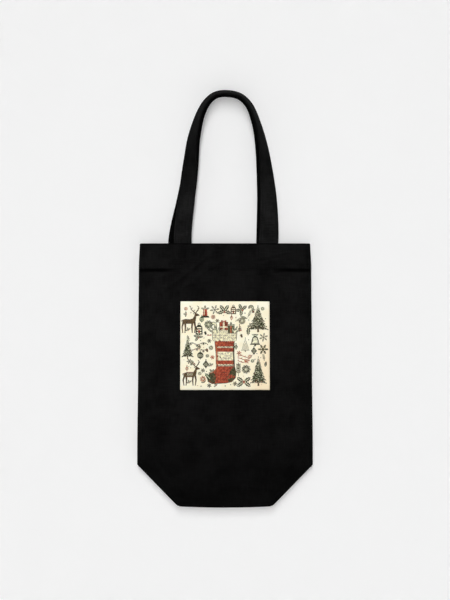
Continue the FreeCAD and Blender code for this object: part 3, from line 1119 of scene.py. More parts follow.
# %% [markdown]
# Both long edges of a strap are topstitched, so each strap has two rows on its outer face and
# the same two on its underside. The rows ride on the same rings that carry the strap.

# %% Topstitch the straps
for side, word in SIDE_WORD.items():
    rows = []
    level = strap_height(EDGE_ROW) + 0.08 * MM
    section = [(-HALF_STRAP + EDGE_ROW, level), (HALF_STRAP - EDGE_ROW, level),
               (-HALF_STRAP + EDGE_ROW, -level), (HALF_STRAP - EDGE_ROW, -level)]
    rings, _ = strap_rings(side, section)
    stations = strap_stations(side)
    for place in range(4):
        turn = 1 if place < 2 else -1
        rows.append([(ring[place], off * turn) for ring, (_, _, off) in zip(rings, stations)])
    stitches = sew(word + "_strap_stitches", rows, seed=7 + side)
    bend_at_mouth(stitches, side)
    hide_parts(word + "_handle_thread")

# %% [markdown]
# ## The printed square
#
# The front carries a square of cream ink, and small winter motifs in dark olive, brick red,
# green and grey lie on it. Ink is a thin film that follows the cloth, so the ground is a grid
# laid on the outside of the cloth and given a little thickness. The weave still shows through
# it, and age has turned it peach towards the right.

# %% Lay the cream ground
PRINT_SIDE = (PRINT_HIGH.x - PRINT_LOW.x) / MM
FILM_LIFT = 0.12 * MM
FILM_STEPS = 60


def film_grid():
    """The square as a grid on the cloth, with slightly worn edges."""
    rows, cloth_map = [], []
    for row in range(FILM_STEPS + 1):
        z = mix(PRINT_HIGH.z, PRINT_LOW.z, row / FILM_STEPS)
        places = []
        for column in range(FILM_STEPS + 1):
            x = mix(PRINT_HIGH.x, PRINT_LOW.x, column / FILM_STEPS)
            worn = 0.12 * MM * ripple(3 * MM, x, 0.0, z)
            edge = column in (0, FILM_STEPS) or row in (0, FILM_STEPS)
            places.append((x + worn * edge, z + worn * edge))
        rows.append([on_cloth(FRONT, x, z, FILM_LIFT)[0] for x, z in places])
        cloth_map.append(places)
    return grid_object("print_film", rows, cloth_map)


def ground_ink():
    """Cream ink, yellower in patches, peach towards the right and the lower right corner."""
    shader = Shader("cream_ink")
    where = shader.cloth_map()
    height, slubs = weave(shader, where, THREAD_PITCH)
    across = where.part("X") + shader.noise(where, 30.0, 2.0) * 0.02
    low = where.part("Y")
    base = shader.blend(shader.noise(where, 55.0, 3.0).between(0.35, 0.65),
                        colour(255, 251, 228), colour(254, 245, 214))
    corner = (across - (low - 0.18) * 0.30).between(0.036, 0.066)
    base = shader.blend(corner * 0.75, base, colour(255, 232, 192))
    speck = shader.noise(where, 1500.0, 2.0, 0.7).between(0.62, 0.72)
    base = shader.blend(speck * 0.14, base, colour(190, 178, 140))
    sunk = height.between(0.05, 0.30, 0.10, 0.0)
    base = shader.blend(sunk, base, colour(150, 138, 112))
    return shader.surface(Base_Color=base, Roughness=0.62, Specular_IOR_Level=0.2,
                          Normal=shader.bump(height + slubs * 0.2, 0.7, 0.12 * MM))


print_film = film_grid()
thicken(print_film, 0.08 * MM)
print_film.data.materials.append(ground_ink())
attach(print_film, "bag")
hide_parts("printed_square")
print("ground:", triangles(print_film), "triangles")

# %% [markdown]
# ### A pen for flat motifs
#
# Each motif is drawn as flat shapes in millimetres, up from the lower left corner of the square.
# The pen keeps the shapes by ink, and can be set down anywhere, turned and at any size, so one
# leaf or snowflake serves many times.

# %% The pen
LINE_WEIGHT = 1.5
BARE_EDGE = 1.2


class Pen:
    """Flat shapes by ink, drawn at a place, turn and size."""

    def __init__(self):
        self.shapes = {}
        self.at(0, 0)

    def at(self, x, y, turn=0.0, size=1.0):
        """Sets the pen down, turned in degrees and at a size."""
        self.middle = (x, y)
        self.turn = math.radians(turn)
        self.size = size
        return self

    def fill(self, ink, points):
        """One flat shape, kept inside the bare edge of the square."""
        cos, sin = math.cos(self.turn) * self.size, math.sin(self.turn) * self.size
        placed = [(self.middle[0] + x * cos - y * sin, self.middle[1] + x * sin + y * cos)
                  for x, y in points]
        limit = PRINT_SIDE - BARE_EDGE
        placed = [(min(max(x, BARE_EDGE), limit), min(max(y, BARE_EDGE), limit)) for x, y in placed]
        self.shapes.setdefault(ink, []).append(placed)

    def stroke(self, ink, points, wide, end_wide=None):
        """A line of short quads, which may grow thinner to its end."""
        end_wide = wide if end_wide is None else end_wide
        edge, count = [], len(points) - 1
        for place, (x, y) in enumerate(points):
            before, after = points[max(place - 1, 0)], points[min(place + 1, count)]
            run_x, run_y = after[0] - before[0], after[1] - before[1]
            length = math.hypot(run_x, run_y) or 1.0
            half = mix(wide, end_wide, place / count) * LINE_WEIGHT / 2
            off_x, off_y = -run_y / length * half, run_x / length * half
            edge.append(((x + off_x, y + off_y), (x - off_x, y - off_y)))
        for first, after in zip(edge, edge[1:]):
            self.fill(ink, [first[0], first[1], after[1], after[0]])

    def oval(self, ink, x, y, wide, high, sides=12):
        """An oval with these half sizes."""
        turns = [2 * math.pi * step / sides for step in range(sides)]
        self.fill(ink, [(x + wide * math.cos(a), y + high * math.sin(a)) for a in turns])

    def dot(self, ink, x, y, radius):
        self.oval(ink, x, y, radius, radius, 8)

    def line(self, ink, x, y, to_x, to_y, wide):
        self.stroke(ink, [(x, y), (to_x, to_y)], wide)


def arc_points(x, y, radius, start, end, steps=10):
    """Points on part of a circle, from one angle to another in degrees."""
    angles = [math.radians(mix(start, end, step / steps)) for step in range(steps + 1)]
    return [(x + radius * math.cos(a), y + radius * math.sin(a)) for a in angles]


# %% A scrap to try motifs on


def shapes_in(draw, *values):
    """How many flat shapes a motif takes, drawn on a scrap."""
    scrap = Pen()
    draw(scrap, 50, 50, *values)
    return sum(len(shapes) for shapes in scrap.shapes.values())


print("points on a quarter circle:", len(arc_points(0, 0, 1, 0, 90)))

# %% [markdown]
# Leaves, berries and flakes are simple plant and frost shapes. A leaf is two mirrored curves with
# a pale rib, and holly, rosettes and twigs are leaves set round a middle or along a stem.

# %% Leaves and holly


def leaf(pen, ink, x, y, long, wide, turn, spiky=False):
    """A leaf from (x, y) outwards: a pointed oval, or a holly leaf with spiked edges."""
    sides = [[], []]
    steps = 8
    for step in range(steps + 1):
        share = step / steps
        half = wide / 2 * math.sin(math.pi * share) ** 0.8
        if spiky and step % 2:
            half *= 0.55
        sides[0].append((share * long, half))
        sides[1].append((share * long, -half))
    turn = math.radians(turn)
    cos, sin = math.cos(turn), math.sin(turn)
    outline = sides[0][:-1] + sides[1][:0:-1]
    pen.fill(ink, [(x + a * cos - b * sin, y + a * sin + b * cos) for a, b in outline])
    rib = [(x + long * share * cos, y + long * share * sin) for share in (0.12, 0.5, 0.85)]
    pen.stroke("pale", rib, 0.07 * wide + 0.08)


def holly(pen, x, y, size, turn, leaves=3):
    """Spiked leaves fanned round three berries."""
    pen.at(x, y, turn, size)
    for place in range(leaves):
        angle = 90 + (place - (leaves - 1) / 2) * 74
        leaf(pen, "green_dark" if place % 2 else "dark", 0, 0.4, 5.8, 3.5, angle, spiky=True)
    for a, b in ((-0.6, 0.1), (0.6, 0.0), (0.0, -0.75)):
        pen.dot("red", a, b, 0.62)
        pen.dot("pale", a - 0.15, b + 0.18, 0.14)


print("shapes in a sprig of holly:", shapes_in(holly, 1.0, 0))

# %% Flakes, rosettes and twigs


def snowflake(pen, x, y, radius, ink, turn=0.0, wide=0.46):
    """Six arms with two pairs of barbs each."""
    pen.at(x, y, turn)
    for arm in range(6):
        angle = math.radians(60 * arm)
        cos, sin = math.cos(angle), math.sin(angle)
        pen.line(ink, 0, 0, radius * cos, radius * sin, wide)
        for share, barb in ((0.45, 0.26), (0.72, 0.20)):
            for side in (-1, 1):
                bent = angle + side * math.radians(52)
                foot_x, foot_y = radius * share * cos, radius * share * sin
                pen.line(ink, foot_x, foot_y, foot_x + radius * barb * math.cos(bent),
                         foot_y + radius * barb * math.sin(bent), wide * 0.8)
    pen.dot(ink, 0, 0, radius * 0.14)


def rosette(pen, x, y, radius, ink, petals=8):
    """Petals round a pale heart, with a dot between each two."""
    pen.at(x, y)
    for petal in range(petals):
        leaf(pen, ink, 0, 0, radius, radius * 0.5, 360 * petal / petals)
    pen.dot("pale", 0, 0, radius * 0.22)
    for petal in range(petals):
        angle = 2 * math.pi * (petal + 0.5) / petals
        pen.dot(ink, radius * 0.9 * math.cos(angle), radius * 0.9 * math.sin(angle), 0.26)


def twig(pen, x, y, long, turn, ink, pairs=4):
    """A stem with pairs of leaves."""
    pen.at(x, y, turn)
    pen.stroke(ink, [(0, 0), (0.25, long * 0.5), (0, long)], 0.36, 0.2)
    for pair in range(pairs):
        up = long * (0.25 + 0.7 * pair / pairs)
        for side in (-1, 1):
            leaf(pen, ink, 0.1, up, long * 0.24, long * 0.10, 90 - side * 48)
    pen.dot(ink, 0, long, 0.35)


print("shapes in a snowflake:", shapes_in(snowflake, 3.0, "grey"))

# %% [markdown]
# A fir is a stack of ragged skirts, each narrower than the one below. Its short pale marks stand
# for snow and lights; they are strewn at random with a fixed seed, so every run draws them alike.

# %% Trees


def pine(pen, x, y, wide, high, seed, layers, ink, extra):
    """A ragged fir: stacked skirts, a trunk, and many short pale and coloured marks."""
    rng = random.Random(seed)
    pen.at(x, y)
    pen.fill("brown", [(-wide * 0.05, 0), (wide * 0.05, 0), (wide * 0.04, high * 0.14),
                       (-wide * 0.04, high * 0.14)])
    for layer in range(layers):
        low = high * (0.10 + 0.74 * layer / layers)
        top = min(high, low + high * 0.30)
        half = wide / 2 * (1 - 0.84 * layer / layers) * rng.uniform(0.93, 1.05)
        outline = [(0, top)]
        spikes = max(4, int(half * 1.3))
        for spike in range(spikes + 1):
            share = spike / spikes
            along = mix(half, -half, share)
            droop = abs(along) / half * high * 0.035
            outline.append((along, low - droop + rng.uniform(0, 0.4)))
            if spike < spikes:
                outline.append((along - half / spikes, low + rng.uniform(0.5, 1.0)))
        pen.fill(ink if layer % 2 == 0 else "green_dark", outline)
    for mark in range(int(wide * high * 0.42)):
        up = rng.uniform(0.10, 0.95)
        half = wide / 2 * (1 - up) * 0.9
        along = rng.uniform(-half, half)
        shade = rng.choice(("pale", "pale", "pale", extra, ink))
        size = rng.uniform(0.22, 0.42) * (1.6 if shade == extra else 1.0)
        pen.stroke(shade, [(along - size, up * high - 0.3 * size), (along, up * high + 0.25 * size),
                           (along + size, up * high - 0.3 * size)], 0.24 if shade == "pale" else 0.5)
    pen.dot("brown", 0, high, 0.5)


def dotted_pine(pen, x, y, wide, high, ink):
    """A fir made only of rows of dots."""
    pen.at(x, y)
    rows = int(high / 1.35)
    for row in range(rows):
        half = wide / 2 * (1 - row / rows)
        count = max(1, int(half * 1.5))
        for place in range(count):
            along = mix(-half, half, (place + 0.5) / count)
            pen.dot(ink if (row + place) % 3 else "brown", along, 1 + row * 1.3, 0.48)
    pen.line(ink, 0, -0.6, 0, 1, 0.8)


print("shapes in a fir:", shapes_in(pine, 20.0, 30.0, 1, 7, "dark", "brown"))

# %% [markdown]
# The ornaments are the usual ones on winter cloth: baubles, a bell, a candle in its holder, a
# lantern, a striped stick and a bow. Each is a dark outline shape with paler shapes laid over it.

# %% Bauble and bell


def bauble(pen, x, y, radius, ink, pointed=False):
    """A round or pointed bauble with its cap, loop and tassel."""
    pen.at(x, y)
    if pointed:
        pen.fill(ink, [(0, radius * 1.25), (radius, 0), (0, -radius * 1.25), (-radius, 0)])
    else:
        pen.oval(ink, 0, 0, radius, radius * 1.05, 16)
    for share in (-0.38, 0.0, 0.38):
        half = radius * math.sqrt(1 - share ** 2) * (0.55 if pointed else 0.85)
        pen.stroke("pale", [(-half, share * radius), (0, share * radius - 0.3),
                            (half, share * radius)], 0.26)
    pen.fill("brown", [(-0.5, radius), (0.5, radius), (0.4, radius + 1.0), (-0.4, radius + 1.0)])
    pen.stroke(ink, arc_points(0, radius + 1.5, 0.6, -90, 270, 8), 0.24)
    pen.line(ink, 0, -radius, 0, -radius - 1.2, 0.4)


def bell(pen, x, y, size, ink):
    """A bell with a sprig at its loop."""
    pen.at(x, y, 0, size)
    shape = [(-4.4, -3.6), (-3.2, -2.2), (-2.7, 0.6), (-2.0, 2.6), (-0.8, 3.7), (0.8, 3.7),
             (2.0, 2.6), (2.7, 0.6), (3.2, -2.2), (4.4, -3.6)]
    pen.fill(ink, shape)
    pen.fill("pale", [(0.68 * a, 0.70 * b + 0.1) for a, b in shape])
    pen.stroke(ink, [(-2.9, -1.6), (0, -2.3), (2.9, -1.6)], 0.5)
    pen.stroke("green", [(-1.2, 2.0), (-0.4, -0.6), (-0.9, -1.6)], 0.4)
    pen.stroke(ink, arc_points(0, 4.3, 0.8, -70, 250, 8), 0.4)
    pen.dot(ink, 0, -4.1, 0.8)
    for turn in (155, 25):
        leaf(pen, "green", 0, 3.9, 3.0, 1.5, turn, spiky=True)


print("shapes in a bell:", shapes_in(bell, 1.0, "dark"))

# %% Candle and lantern


def candle(pen, x, y, size):
    """A thick candle on a dish, with leaves round its flame."""
    pen.at(x, y, 0, size)
    pen.fill("dark", [(-3.6, -5.2), (3.6, -5.2), (3.0, -4.0), (1.2, -3.4), (-1.2, -3.4), (-3.0, -4.0)])
    pen.fill("red", [(-1.9, -3.6), (1.9, -3.6), (1.5, 0), (1.6, 2.0), (-1.6, 2.0), (-1.5, 0)])
    pen.stroke("pale", [(-0.8, -3.0), (-0.6, 1.4)], 0.35)
    pen.line("dark", -1.8, -0.8, 1.8, -0.8, 0.4)
    for turn in (18, 162):
        leaf(pen, "dark", 0, 1.6, 3.8, 1.7, turn, spiky=True)
    leaf(pen, "brown", 0, 2.0, 3.0, 1.5, 90)


def lantern(pen, x, y, size, ink):
    """An open lantern with a small candle in it."""
    pen.at(x, y, 0, size)
    pen.fill(ink, [(-2.8, 2.2), (2.8, 2.2), (1.0, 4.2), (-1.0, 4.2)])
    for side in (-1, 1):
        pen.line(ink, 2.4 * side, -3.2, 2.2 * side, 2.2, 0.6)
    for up in (-3.4, -1.3, 0.8):
        pen.line(ink, -2.8, up, 2.8, up, 0.7)
    pen.line("red", 0, -3.0, 0, -0.2, 0.9)
    pen.stroke(ink, arc_points(0, 4.7, 0.9, -60, 240, 8), 0.35)


print("shapes in a lantern:", shapes_in(lantern, 1.0, "dark"))

# %% Striped stick and bow


def cane(pen, x, y, size, turn):
    """A striped stick with a crook."""
    pen.at(x, y, turn, size)
    crook = [(1.6, -4.2), (1.6, 1.2)] + arc_points(0, 1.2, 1.6, 0, 200, 10)
    pen.stroke("dark", crook, 1.5)
    for place, (a, b) in enumerate(crook[1:]):
        if place % 2:
            pen.dot("pale", a, b, 0.42)
    for up in (-3.6, -2.6, -1.6, -0.6, 0.4):
        pen.line("red" if int(up) % 2 else "pale", 1.1, up, 2.1, up + 0.6, 0.35)
    leaf(pen, "green", 1.6, -0.8, 2.8, 1.3, 200, spiky=True)
    leaf(pen, "dark", 1.6, -0.8, 2.8, 1.3, -20, spiky=True)


def bow(pen, x, y, size, ink, tails=True):
    """Two loops, a knot and, if wanted, two tails."""
    pen.at(x, y, 0, size)
    for side in (-1, 1):
        loop = [(0, 0.2), (side * 2.2, 2.0), (side * 4.6, 2.2), (side * 5.2, 0.4),
                (side * 4.4, -1.2), (side * 2.0, -0.9), (0, -0.4)]
        pen.fill(ink, loop)
        pen.stroke("pale", [(side * 1.4, 0.5), (side * 3.2, 1.2), (side * 4.2, 0.6)], 0.3)
        if tails:
            pen.fill(ink, [(0, 0), (side * 1.4, -1.8), (side * 3.4, -4.6), (side * 2.0, -4.2),
                           (side * 1.2, -5.0), (side * 0.3, -2.0)])
    pen.oval(ink, 0, 0, 0.9, 1.0, 10)
    pen.dot("pale", 0, 0.1, 0.3)


print("shapes in a bow:", shapes_in(bow, 1.0, "red"))

# %% [markdown]
# ### Deer and a filled stocking
#
# Two deer stand at the left. The middle of the square, where such prints put their largest
# motif, has a knitted stocking filled with parcels.

# %% Deer


def deer(pen, x, y, size, ink, coat, blanket=None):
    """A standing deer: body, coat, head, legs and antlers, and a blanket if it wears one."""
    pen.at(x, y, 0, size)
    pen.fill(ink, [(-7.2, 1.5), (-6.6, 3.8), (-4, 4.6), (0.5, 4.2), (3.4, 5.0), (5.0, 7.6),
                   (6.6, 8.4), (7.0, 6.0), (6.4, 2.2), (4.6, 0.2), (1, -0.4), (-3, -0.4),
                   (-5.6, -0.2)])
    pen.fill(coat, [(-6.5, 1.8), (-5.8, 3.4), (-3.6, 3.9), (0.6, 3.5), (3.8, 4.4), (5.4, 6.9),
                    (6.3, 7.3), (6.4, 5.8), (5.8, 2.4), (4.2, 0.8), (1, 0.2), (-3, 0.2),
                    (-5.2, 0.4)])
    pen.fill(ink, [(5.0, 7.4), (5.4, 9.6), (6.6, 10.6), (8.2, 10.2), (10.2, 8.8), (10.4, 8.0),
                   (8.6, 7.7), (7.0, 7.2)])
    pen.fill(coat, [(5.6, 7.8), (5.9, 9.3), (6.8, 10.0), (8.0, 9.6), (9.3, 8.7), (8.4, 8.2),
                    (7.0, 7.8)])
    pen.fill(ink, [(5.4, 9.8), (3.9, 10.9), (4.3, 9.3)])
    for foot, knee, hip in ((-6.8, -7.6, -5.9), (-4.4, -4.0, -4.3), (3.0, 2.6, 3.2), (5.6, 6.2, 5.2)):
        pen.stroke(ink, [(hip, 1.4), (knee, -3.8), (foot, -8.8)], 1.5, 0.6)
        pen.stroke(coat, [(hip, 0.8), (knee, -3.6)], 0.7, 0.3)
        pen.fill(ink, [(foot - 0.7, -9.6), (foot + 0.8, -9.6), (foot + 0.4, -8.6),
                       (foot - 0.4, -8.6)])
    for lean in (-1, 1):
        beam = [(6.2, 10.3), (5.8 + lean * 1.8, 12.4), (5.2 + lean * 3.6, 14.4),
                (5.4 + lean * 4.0, 17.0)]
        pen.stroke(ink, beam, 0.75, 0.35)
        for (a, b), tip in zip(beam[1:], ((1.8, 1.6), (1.6, 1.9), (-1.4, 1.2))):
            tine = [(a, b), (a + tip[0] * 0.6, b + tip[1] * 0.5), (a + tip[0], b + tip[1])]
            pen.stroke(ink, tine, 0.55, 0.25)
    pen.stroke(ink, [(-7.0, 3.4), (-7.9, 2.6), (-7.6, 1.4)], 0.8, 0.4)
    pen.dot("line", 7.4, 9.3, 0.28)
    pen.dot("line", 10.1, 8.4, 0.35)
    for row in range(4):
        for place in range(5):
            pen.dot("line", -5 + 2.1 * place + 0.6 * row, 0.8 + 0.75 * row, 0.2)
    if blanket:
        pen.fill(blanket, [(-4.2, 4.9), (2.8, 4.9), (3.4, 0.6), (1.6, -0.6), (-3.6, -0.6),
                           (-4.6, 0.8)])
        for along in (-3.4, -1.8, -0.2, 1.4):
            pen.stroke("pale", [(along, 4.2), (along + 0.8, 2.6), (along, 1.0)], 0.26)
        pen.stroke("dark", [(-4.5, 0.2), (-1, -0.4), (3.2, 0.2)], 0.4)


print("shapes in a deer:", shapes_in(deer, 1.0, "brown", "fleece"))

# %% Stocking


def stocking(pen, x, y):
    """A large knitted stocking hung by its cuff, filled with parcels, fir and a striped cane."""
    pen.at(x, y)
    sole = [(11.5, 0.5), (11.2, -16), (11.8, -30), (13.4, -36.5), (12.8, -43), (8.5, -47.8),
            (2, -49.3), (-6, -49.8), (-14, -50.2), (-18.9, -47.8), (-20.2, -43), (-18, -38.8),
            (-13, -36.2), (-9.8, -32), (-10.2, -16), (-11.6, 0.5)]
    pen.fill("dark", sole)
    pen.fill("red", [(a * 0.955, b * 0.982 - 0.3) for a, b in sole])
    pen.fill("olive", [(-12.6, -36.6), (-17.6, -38.8), (-19.4, -43), (-18.1, -47.0), (-13.6, -49.2),
                       (-10.8, -49.0), (-9.6, -45.0), (-10.2, -40.4)])
    pen.fill("olive", [(11.2, -29.5), (12.7, -36.6), (12.0, -42.6), (8.2, -47.0), (4.4, -47.8),
                       (3.2, -43.0), (5.0, -37.5), (8.4, -32.4)])
    for low, high in ((-23.0, -13.0), (-29.6, -27.4), (-8.6, -6.8)):
        pen.fill("fleece", [(-9.8, low), (10.9, low), (10.9, high), (-9.9, high)])
    for place in range(6):
        middle = -8.0 + 3.4 * place
        pen.fill("olive", [(middle, -20.8), (middle + 1.2, -18.0), (middle, -15.2),
                           (middle - 1.2, -18.0)])
        pen.dot("red", middle, -18.0, 0.5)
        pen.dot("line", middle + 1.7, -15.0, 0.34)
        pen.dot("line", middle + 1.7, -21.0, 0.34)
        pen.stroke("line", [(middle - 1.2, -29.2), (middle, -27.8), (middle + 1.4, -29.2)], 0.4)
        pen.stroke("line", [(middle - 1.2, -8.4), (middle, -7.0), (middle + 1.4, -8.4)], 0.3)
    for row in range(11):
        low = -2.2 - 4.3 * row
        half = 9.8 if row < 8 else 8.0
        shift = 0.6 if row < 8 else -3.6
        if -24 < low < -12:
            continue
        for place in range(12):
            along = shift - half + 2 * half * place / 11
            pen.stroke("rust" if place < 5 else "line",
                       [(along - 0.3, low), (along, low - 1.5), (along + 0.3, low)], 0.26)
    pen.stroke("rust", [(-9.2, -3), (-8.8, -16), (-8.4, -31), (-11.4, -36)], 1.1)
    pen.stroke("line", [(10.6, -3), (10.2, -16), (10.6, -29)], 0.7)
    cuff = [(-13.2, 0.2), (13.2, 0.2), (14.0, 10.8), (-13.8, 11.2)]
    pen.fill("dark", [(a * 1.04, b * 1.05 - 0.4) for a, b in cuff])
    pen.fill("fleece", cuff)
    for place in range(12):
        along = -12.4 + 2.25 * place
        pen.dot("fleece", along, 0.2, 1.3)
        pen.dot("fleece", along + 0.3, 10.9, 1.2)
        for up in (2.6, 5.4, 8.2):
            pen.stroke("brown", [(along - 0.5, up), (along + 0.2, up + 0.9), (along + 0.7, up - 0.2)],
                       0.24)


print("shapes in the stocking:", shapes_in(stocking))

# %% What fills the stocking


def stocking_top(pen, x, y):
    """What stands out of the stocking, from the back to the front."""
    pen.at(x, y)
    for foot, turn, ink in ((-10, 128, "dark"), (-8, 108, "green"), (10.5, 62, "dark"),
                            (8.5, 80, "green"), (12, 40, "green_dark"), (-12, 146, "green_dark")):
        leaf(pen, ink, foot, 8.5, 9.5, 2.6, turn, spiky=True)
    for ink, left, low, right, top in (
            ("dark", -6.0, 9.0, 4.0, 21.4), ("red", -5.5, 9.0, 3.5, 20.9),
            ("fleece", -2.0, 9.0, 0.0, 20.9), ("fleece", -5.5, 14.6, 3.5, 16.2),
            ("dark", 3.2, 8.6, 11.4, 16.6), ("grey", 3.7, 8.6, 10.9, 16.1),
            ("rust", 6.6, 8.6, 8.0, 16.1)):
        pen.fill(ink, [(left, low), (right, low), (right, top), (left, top)])
    for place in range(5):
        pen.line("line", -5.2, 10.4 + 0.8 * place, -2.6, 11.4 + 0.8 * place, 0.22)
        pen.line("line", 0.6, 17.0 + 0.6 * place, 3.0, 17.6 + 0.6 * place, 0.22)
        pen.line("line", 4.2, 9.8 + 1.1 * place, 6.2, 10.3 + 1.1 * place, 0.22)
    crook = [(-10.4, 8.0), (-10.4, 17.6)] + arc_points(-12.6, 17.6, 2.2, 0, 190, 10)
    pen.stroke("dark", crook, 2.2)
    pen.stroke("fleece", crook, 1.5)
    for place, (a, b) in enumerate(crook[1::2] + [(-10.4, 15.4), (-10.4, 13.2), (-10.4, 11.0)]):
        pen.line("red", a - 0.7, b - 0.5, a + 0.7, b + 0.5, 0.8)
    bow(pen, x - 1.0, y + 22.0, 0.62, "red", False)
    holly(pen, x + 7.3, y + 16.4, 0.85, 0, 3)
    holly(pen, x - 5.0, y + 10.6, 0.8, 20, 3)


print("shapes in its filling:", shapes_in(stocking_top))

# %% [markdown]
# ### Filling the square
#
# A print like this is built round its large motifs, and the small ones fill the ground between
# them. Each row names a motif and lists where it stands, with its size, ink and turn.

# %% Place the motifs
MOTIFS = (
    (stocking, ((50.5, 57.0),)),
    (stocking_top, ((50.5, 57.0),)),
    (deer, ((10.2, 76.6, 1.12, "brown", "fleece"), (11.4, 15.4, 1.06, "brown", "fleece", "red"))),
    (pine, ((88.8, 66.5, 24.0, 30.5, 2, 7, "dark", "brown"),
            (89.0, 4.6, 20.5, 33.5, 4, 7, "dark", "red"),
            (8.4, 35.6, 14.0, 25.5, 6, 6, "dark", "grey"),
            (67.8, 66.8, 6.6, 8.8, 8, 3, "red", "brown"))),
    (dotted_pine, ((74.2, 44.6, 9.5, 16.5, "grey"),)),
    (candle, ((28.2, 90.6, 1.4),)),
    (lantern, ((21.4, 69.2, 1.4, "dark"), (60.6, 91.6, 1.1, "brown"))),
    (cane, ((81.0, 93.4, 1.15, 8),)),
    (bell, ((85.4, 57.0, 1.4, "dark"),)),
    (bauble, ((84.0, 45.0, 3.5, "dark", True), (22.8, 39.8, 3.6, "dark"),
              (29.2, 29.6, 3.7, "dark", True), (24.4, 81.4, 2.7, "green"),
              (63.6, 49.6, 2.2, "green", True), (66.4, 27.0, 2.3, "dark"))),
    (holly, ((50.2, 90.4, 1.45, 0, 4), (70.6, 92.0, 1.3, 60, 4), (20.6, 60.4, 1.0, 30, 4),
             (72.4, 9.2, 1.55, 90, 2), (72.4, 9.2, 1.55, -90, 2), (15.6, 30.4, 0.8, 75, 2),
             (80.6, 73.4, 0.7, 20, 3), (36.4, 20.4, 0.75, 40, 3))),
    (rosette, ((32.2, 75.2, 5.2, "green_dark", 10), (75.0, 23.8, 5.4, "dark", 9),
               (26.0, 12.6, 3.9, "rust", 7), (70.4, 79.6, 4.2, "grey", 12),
               (37.4, 84.0, 2.9, "rust", 6), (35.0, 48.6, 2.8, "grey", 8),
               (79.4, 38.6, 2.4, "rust", 6))),
    (snowflake, ((39.2, 92.4, 5.4, "grey", 10), (94.4, 46.8, 5.8, "grey", 0, 0.8),
                 (95.0, 60.6, 5.0, "grey", 20), (10.4, 33.0, 3.2, "grey", 5),
                 (67.0, 42.4, 2.8, "rust", 15), (21.6, 49.8, 2.4, "grey", 25),
                 (36.6, 37.6, 2.6, "rust", 12), (62.4, 7.2, 2.8, "grey", 8),
                 (42.2, 79.6, 2.4, "grey", 0))),
    (twig, ((66.2, 15.6, 15.0, 0, "grey", 5), (77.0, 83.6, 8.6, -25, "grey"),
            (95.8, 33.5, 8.0, 10, "brown"), (62.8, 79.0, 7.0, -60, "brown"))),
    (bow, ((76.0, 33.6, 0.62, "rust"), (33.2, 63.0, 0.5, "red", False))),
)
pen = Pen()
for draw, places in MOTIFS:
    for values in places:
        draw(pen, *values)
print("motifs placed:", sum(len(places) for _, places in MOTIFS))

# %% Single leaves and acorns
for x, y, long, wide, turn, ink, spiky in (
        (77.4, 62.6, 10.5, 5.0, 88, "green_dark", True), (9.6, 55.0, 8.2, 3.4, 100, "dark", True),
        (96.8, 26.6, 6.4, 2.8, 80, "dark", False), (28.0, 19.4, 10.5, 5.0, -48, "green", True),
        (68.4, 84.8, 8.8, 2.4, -18, "dark", False), (23.8, 8.4, 6.0, 3.0, 24, "grey", False)):
    leaf(pen.at(0, 0), ink, x, y, long, wide, turn, spiky)
for x, y, ink in ((69.8, 62.4, "brown"), (28.6, 65.6, "dark"), (30.4, 45.8, "brown")):
    pen.at(x, y, 20)
    pen.oval(ink, 0, -0.6, 1.2, 1.7, 10)
    pen.oval("dark", 0, 0.9, 1.5, 0.8, 10)
    pen.line("dark", 0, 1.2, 0.2, 2.4, 0.4)
print("shapes in dark ink so far:", len(pen.shapes["dark"]))

# %% Cords and garlands
for low, rise, ink in ((53.4, 1.2, "dark"), (47.0, -1.0, "brown")):
    cord = [(9.5 + 2.4 * step, low + rise * math.sin(1.1 * step)) for step in range(10)]
    pen.at(0, 0).stroke(ink, cord, 0.35)
    for step, (x, y) in enumerate(cord):
        if step % 3 == 1:
            snowflake(pen, x, y - 1.4, 1.6, ink, 12 * step, 0.3)
        else:
            pen.at(0, 0).dot("rust" if step % 2 else ink, x, y - 0.7, 0.55)
for row in range(3):
    garland = [(65.6 + 2.0 * step, 38.6 - 2.9 * row + 1.1 * math.sin(0.9 * step + row))
               for step in range(9 - row)]
    pen.at(0, 0).stroke("rust", garland, 0.5)
    for x, y in garland[::2]:
        leaf(pen, "rust", x, y, 1.7, 0.8, 60)
print("shapes in rust ink so far:", len(pen.shapes["rust"]))

# %% [markdown]
# What is still bare gets small fillers, then dots and crosses. Each takes a place tried at
# random, if nothing drawn before is too near, and the seed is fixed.

# %% Fill the gaps
FILLER_TRIES, FILLER_MARGIN, FILLER_GAP = 2400, 5, 12.0
DOT_TRIES, DOT_MARGIN, DOT_GAP = 360, 4, 4.0
CROSS_SHARE = 0.35
rng = random.Random(21)
taken = [point for shapes in pen.shapes.values() for shape in shapes for point in shape[::2]]
counts = {"fillers": 0, "scattered": 0}


def free_place(margin, gap):
    """A random place in the square, or nothing if a shape's squared distance is under gap."""
    x, y = rng.uniform(margin, PRINT_SIDE - margin), rng.uniform(margin, PRINT_SIDE - margin)
    if all((x - a) ** 2 + (y - b) ** 2 > gap for a, b in taken):
        return x, y
    return None


